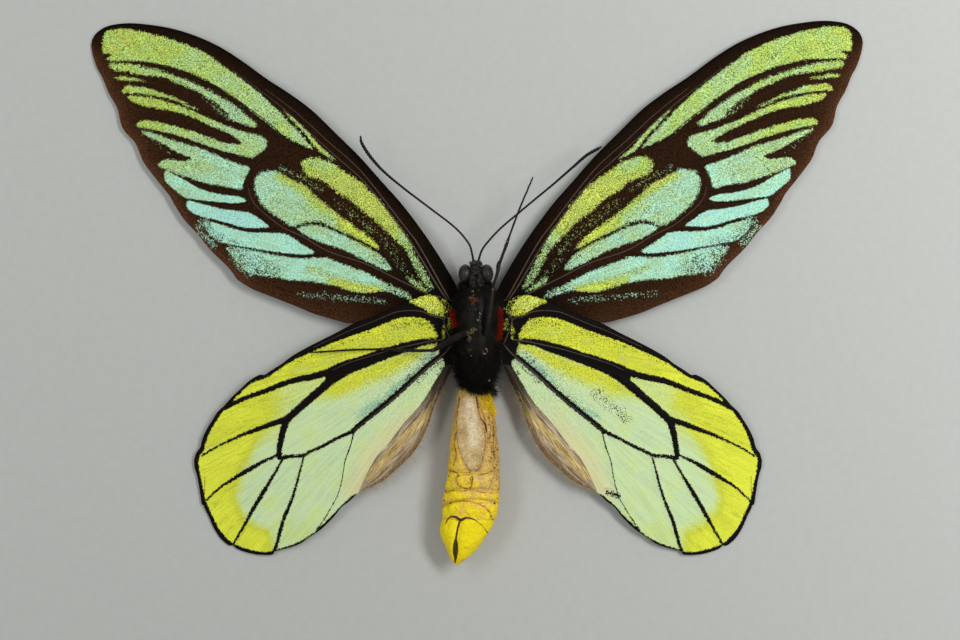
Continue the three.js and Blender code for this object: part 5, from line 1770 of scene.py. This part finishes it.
class SPECIMEN_OT_stage(bpy.types.Operator):
    """Lay the floor and set the lights and the camera"""

    bl_idname = "specimen.stage"
    bl_label = "Stage"

    def execute(self, context):
        stage = context.scene.specimen.stage
        self.floor(stage.floor)
        self.light("key", KEY_PLACE, KEY_SIZE, stage.key_power)
        self.light("fill", FILL_PLACE, FILL_SIZE, stage.fill_power)
        world = bpy.data.worlds.new("studio")
        world.use_nodes = True
        background = world.node_tree.nodes["Background"].inputs
        background["Color"].default_value = (1, 1, 1, 1)
        background["Strength"].default_value = WORLD_STRENGTH
        context.scene.world = world
        context.scene.view_settings.view_transform = "Standard"
        camera = bpy.data.cameras.new("camera")
        camera.lens = camera.sensor_width * (stage.camera_height - VIEW_LEVEL) / stage.view_width
        camera.clip_start = 0.01
        holder = new_object("camera", camera)
        holder.location = (CAMERA_SHIFT, 0, stage.camera_height)
        context.scene.camera = holder
        return {"FINISHED"}

    def floor(self, colour):
        """A plain card just under the specimen."""
        square = ((-1, -1), (1, -1), (1, 1), (-1, 1))
        corners = [(x * FLOOR_HALF, y * FLOOR_HALF, FLOOR_LEVEL) for x, y in square]
        mesh = bpy.data.meshes.new("floor")
        mesh.from_pydata(corners, [], [(0, 1, 2, 3)])
        shader = Shader("floor_card")
        colour = shader.mottled(colour, 0.6, 3.0, 0.3, 0.7, 0.985, 1.015)
        mesh.materials.append(shader.finish(Base_Color=colour, Roughness=0.9, Specular_IOR_Level=0.1))
        new_object("floor", mesh)

    def light(self, name, place, size, power):
        """A round soft light that shines at the middle of the specimen."""
        lamp = bpy.data.lights.new(name, "AREA")
        lamp.shape = "DISK"
        lamp.size = size
        lamp.energy = power
        holder = new_object(name, lamp)
        holder.location = place
        x, y, z = place
        holder.rotation_euler = (math.atan2(math.hypot(x, y), z), 0, math.atan2(-x, y))


class SPECIMEN_PT_panel(bpy.types.Panel):
    """Lists the pieces of the specimen"""

    bl_label = "Specimen"
    bl_idname = "SPECIMEN_PT_panel"
    bl_space_type = "VIEW_3D"
    bl_region_type = "UI"
    bl_category = "Specimen"

    def draw(self, context):
        for operator in OPERATORS:
            self.layout.operator(operator.bl_idname)


OPERATORS = (
    SPECIMEN_OT_stage, SPECIMEN_OT_forewings, SPECIMEN_OT_hindwings, SPECIMEN_OT_thorax, SPECIMEN_OT_head,
    SPECIMEN_OT_abdomen, SPECIMEN_OT_antennae, SPECIMEN_OT_legs, SPECIMEN_OT_pin,
)
CLASSES = (WingSettings, BodySettings, StageSettings, SpecimenSettings, *OPERATORS, SPECIMEN_PT_panel)


def register():
    """Add the classes and the settings."""
    for item in CLASSES:
        bpy.utils.register_class(item)
    bpy.types.Scene.specimen = PointerProperty(type=SpecimenSettings)


def unregister():
    """Take the classes and the settings away again."""
    del bpy.types.Scene.specimen
    for item in reversed(CLASSES):
        bpy.utils.unregister_class(item)


def main():
    """Build the whole specimen."""
    register()
    bpy.ops.specimen.stage()
    bpy.ops.specimen.forewings()
    bpy.ops.specimen.hindwings()
    bpy.ops.specimen.thorax()
    bpy.ops.specimen.head()
    bpy.ops.specimen.abdomen()
    bpy.ops.specimen.antennae()
    bpy.ops.specimen.legs()
    bpy.ops.specimen.pin()


if __name__ == "__main__":
    main()
